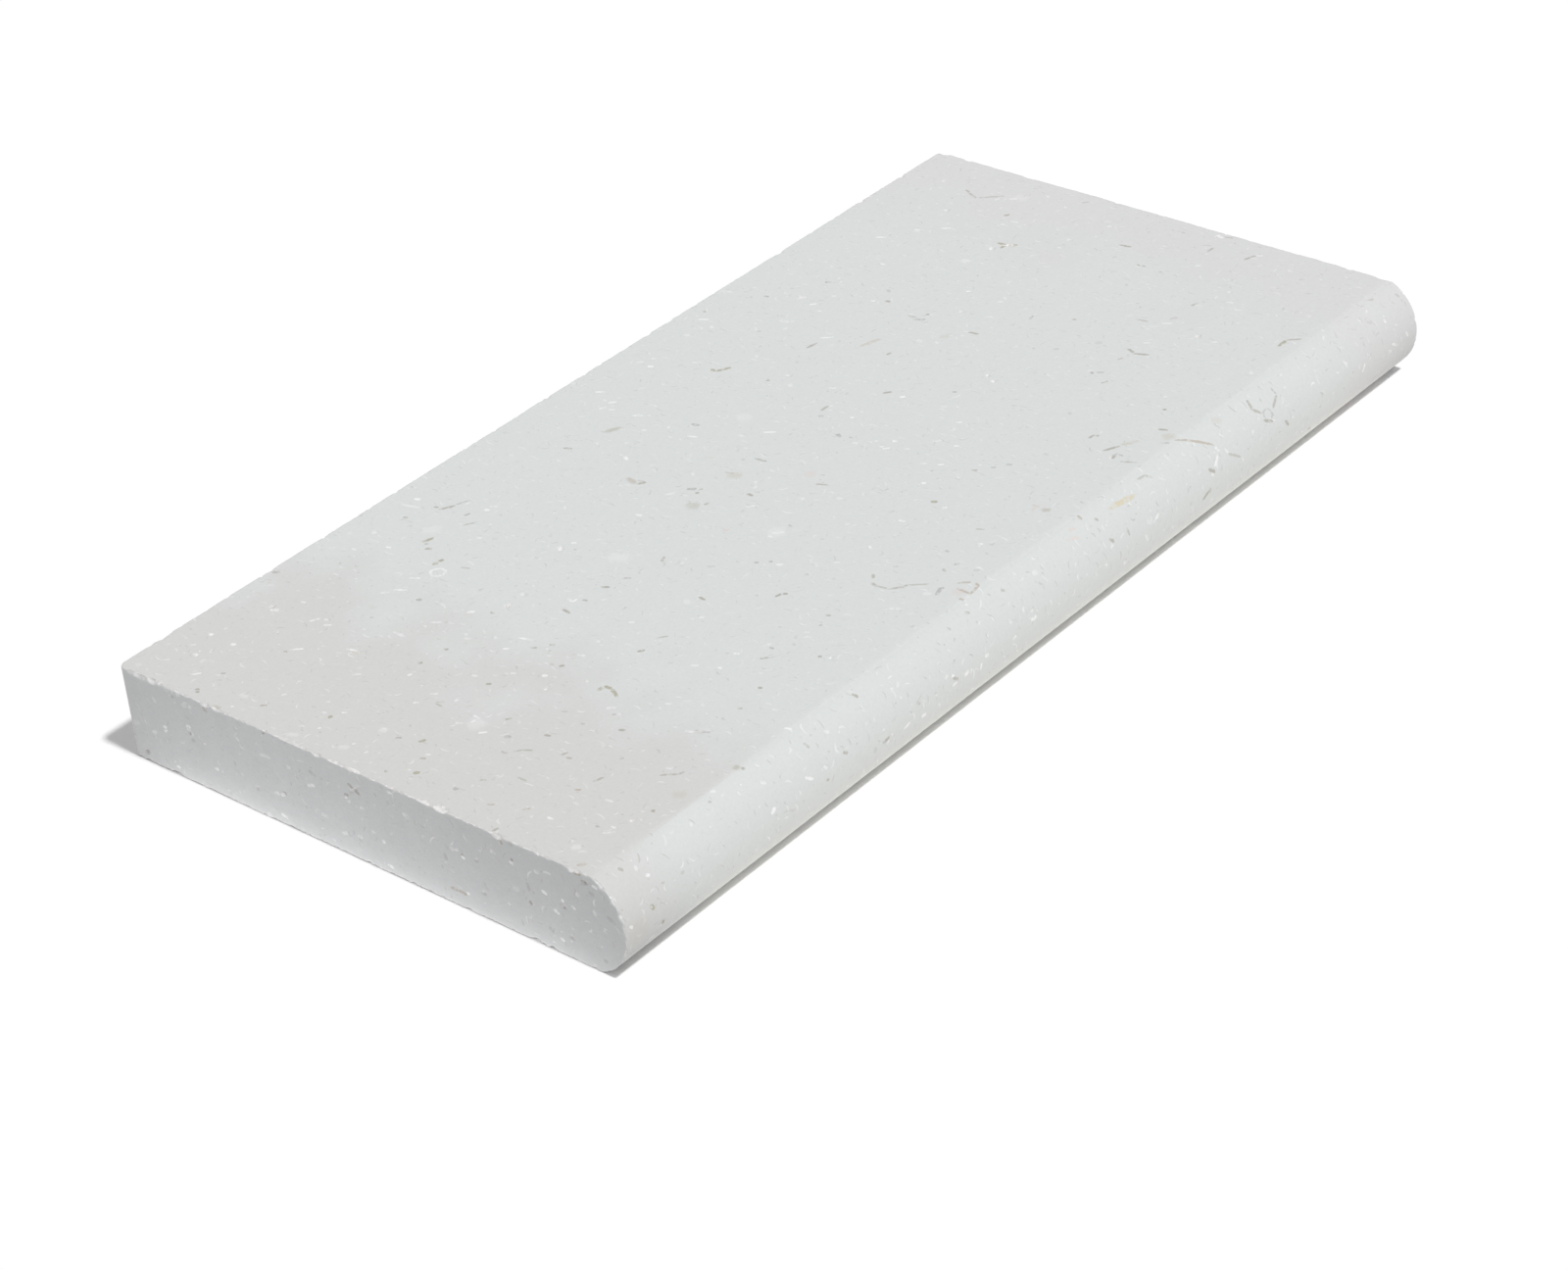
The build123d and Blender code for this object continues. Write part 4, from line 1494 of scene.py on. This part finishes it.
class COPING_OT_slab(bpy.types.Operator):
    """Make the worn limestone slab in place of the plain one"""

    bl_idname = "coping.slab"
    bl_label = "Honed Coping Slab"

    def execute(self, context):
        sizes = context.scene.coping_sizes
        slab = linked("honed_coping_slab", slab_mesh("honed_coping_slab", sizes))
        slab.data.materials.append(limestone(context.scene.coping_colours, slab_from(sizes)))
        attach(slab, "root")
        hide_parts(CAD_NODE)
        return {"FINISHED"}


class COPING_OT_studio(bpy.types.Operator):
    """Make the floor, the soft light and the camera"""

    bl_idname = "coping.studio"
    bl_label = "Studio Floor, Light and Camera"

    def execute(self, context):
        settings = context.scene.coping_studio
        floor = linked("studio_floor", floor_mesh(settings.floor_width))
        floor.data.materials.append(floor_material(settings, slab_from(context.scene.coping_sizes)))
        white_world(settings.sky)

        lamp = bpy.data.lights.new("water_side_lamp", "SUN")
        lamp.angle = settings.lamp_width
        lamp.energy = settings.lamp_level * math.pi
        height = settings.lamp_height
        towards_slab = Vector((0, math.cos(height), -math.sin(height)))
        stand = Matrix.Translation(-LAMP_AWAY * towards_slab)
        linked("water_side_lamp", lamp).matrix_world = stand @ turned_towards(towards_slab)

        lens = bpy.data.cameras.new("camera")
        lens.sensor_width = SENSOR
        lens.lens = LENS
        camera = linked("camera", lens)
        camera.matrix_world = camera_pose()
        context.scene.camera = camera
        context.scene.view_settings.view_transform = "Standard"
        return {"FINISHED"}


class COPING_PT_panel(bpy.types.Panel):
    """Sizes, colours and the steps that make the coping"""

    bl_idname = "COPING_PT_panel"
    bl_label = "Limestone Coping"
    bl_space_type = "VIEW_3D"
    bl_region_type = "UI"
    bl_category = "Coping"

    def draw(self, context):
        scene = context.scene
        for group in (scene.coping_sizes, scene.coping_colours, scene.coping_studio):
            box = self.layout.box()
            for name in group.__annotations__:
                box.prop(group, name)
        for operator in OPERATORS:
            self.layout.operator(operator.bl_idname)


OPERATORS = (COPING_OT_slab, COPING_OT_studio)
CLASSES = (SlabSizes, StoneColours, StudioSizes, *OPERATORS, COPING_PT_panel)


def register():
    for item in CLASSES:
        bpy.utils.register_class(item)
    bpy.types.Scene.coping_sizes = PointerProperty(type=SlabSizes)
    bpy.types.Scene.coping_colours = PointerProperty(type=StoneColours)
    bpy.types.Scene.coping_studio = PointerProperty(type=StudioSizes)


def unregister():
    del bpy.types.Scene.coping_studio
    del bpy.types.Scene.coping_colours
    del bpy.types.Scene.coping_sizes
    for item in reversed(CLASSES):
        bpy.utils.unregister_class(item)


def main():
    register()
    bpy.ops.coping.slab()
    bpy.ops.coping.studio()


if __name__ == "__main__":
    main()
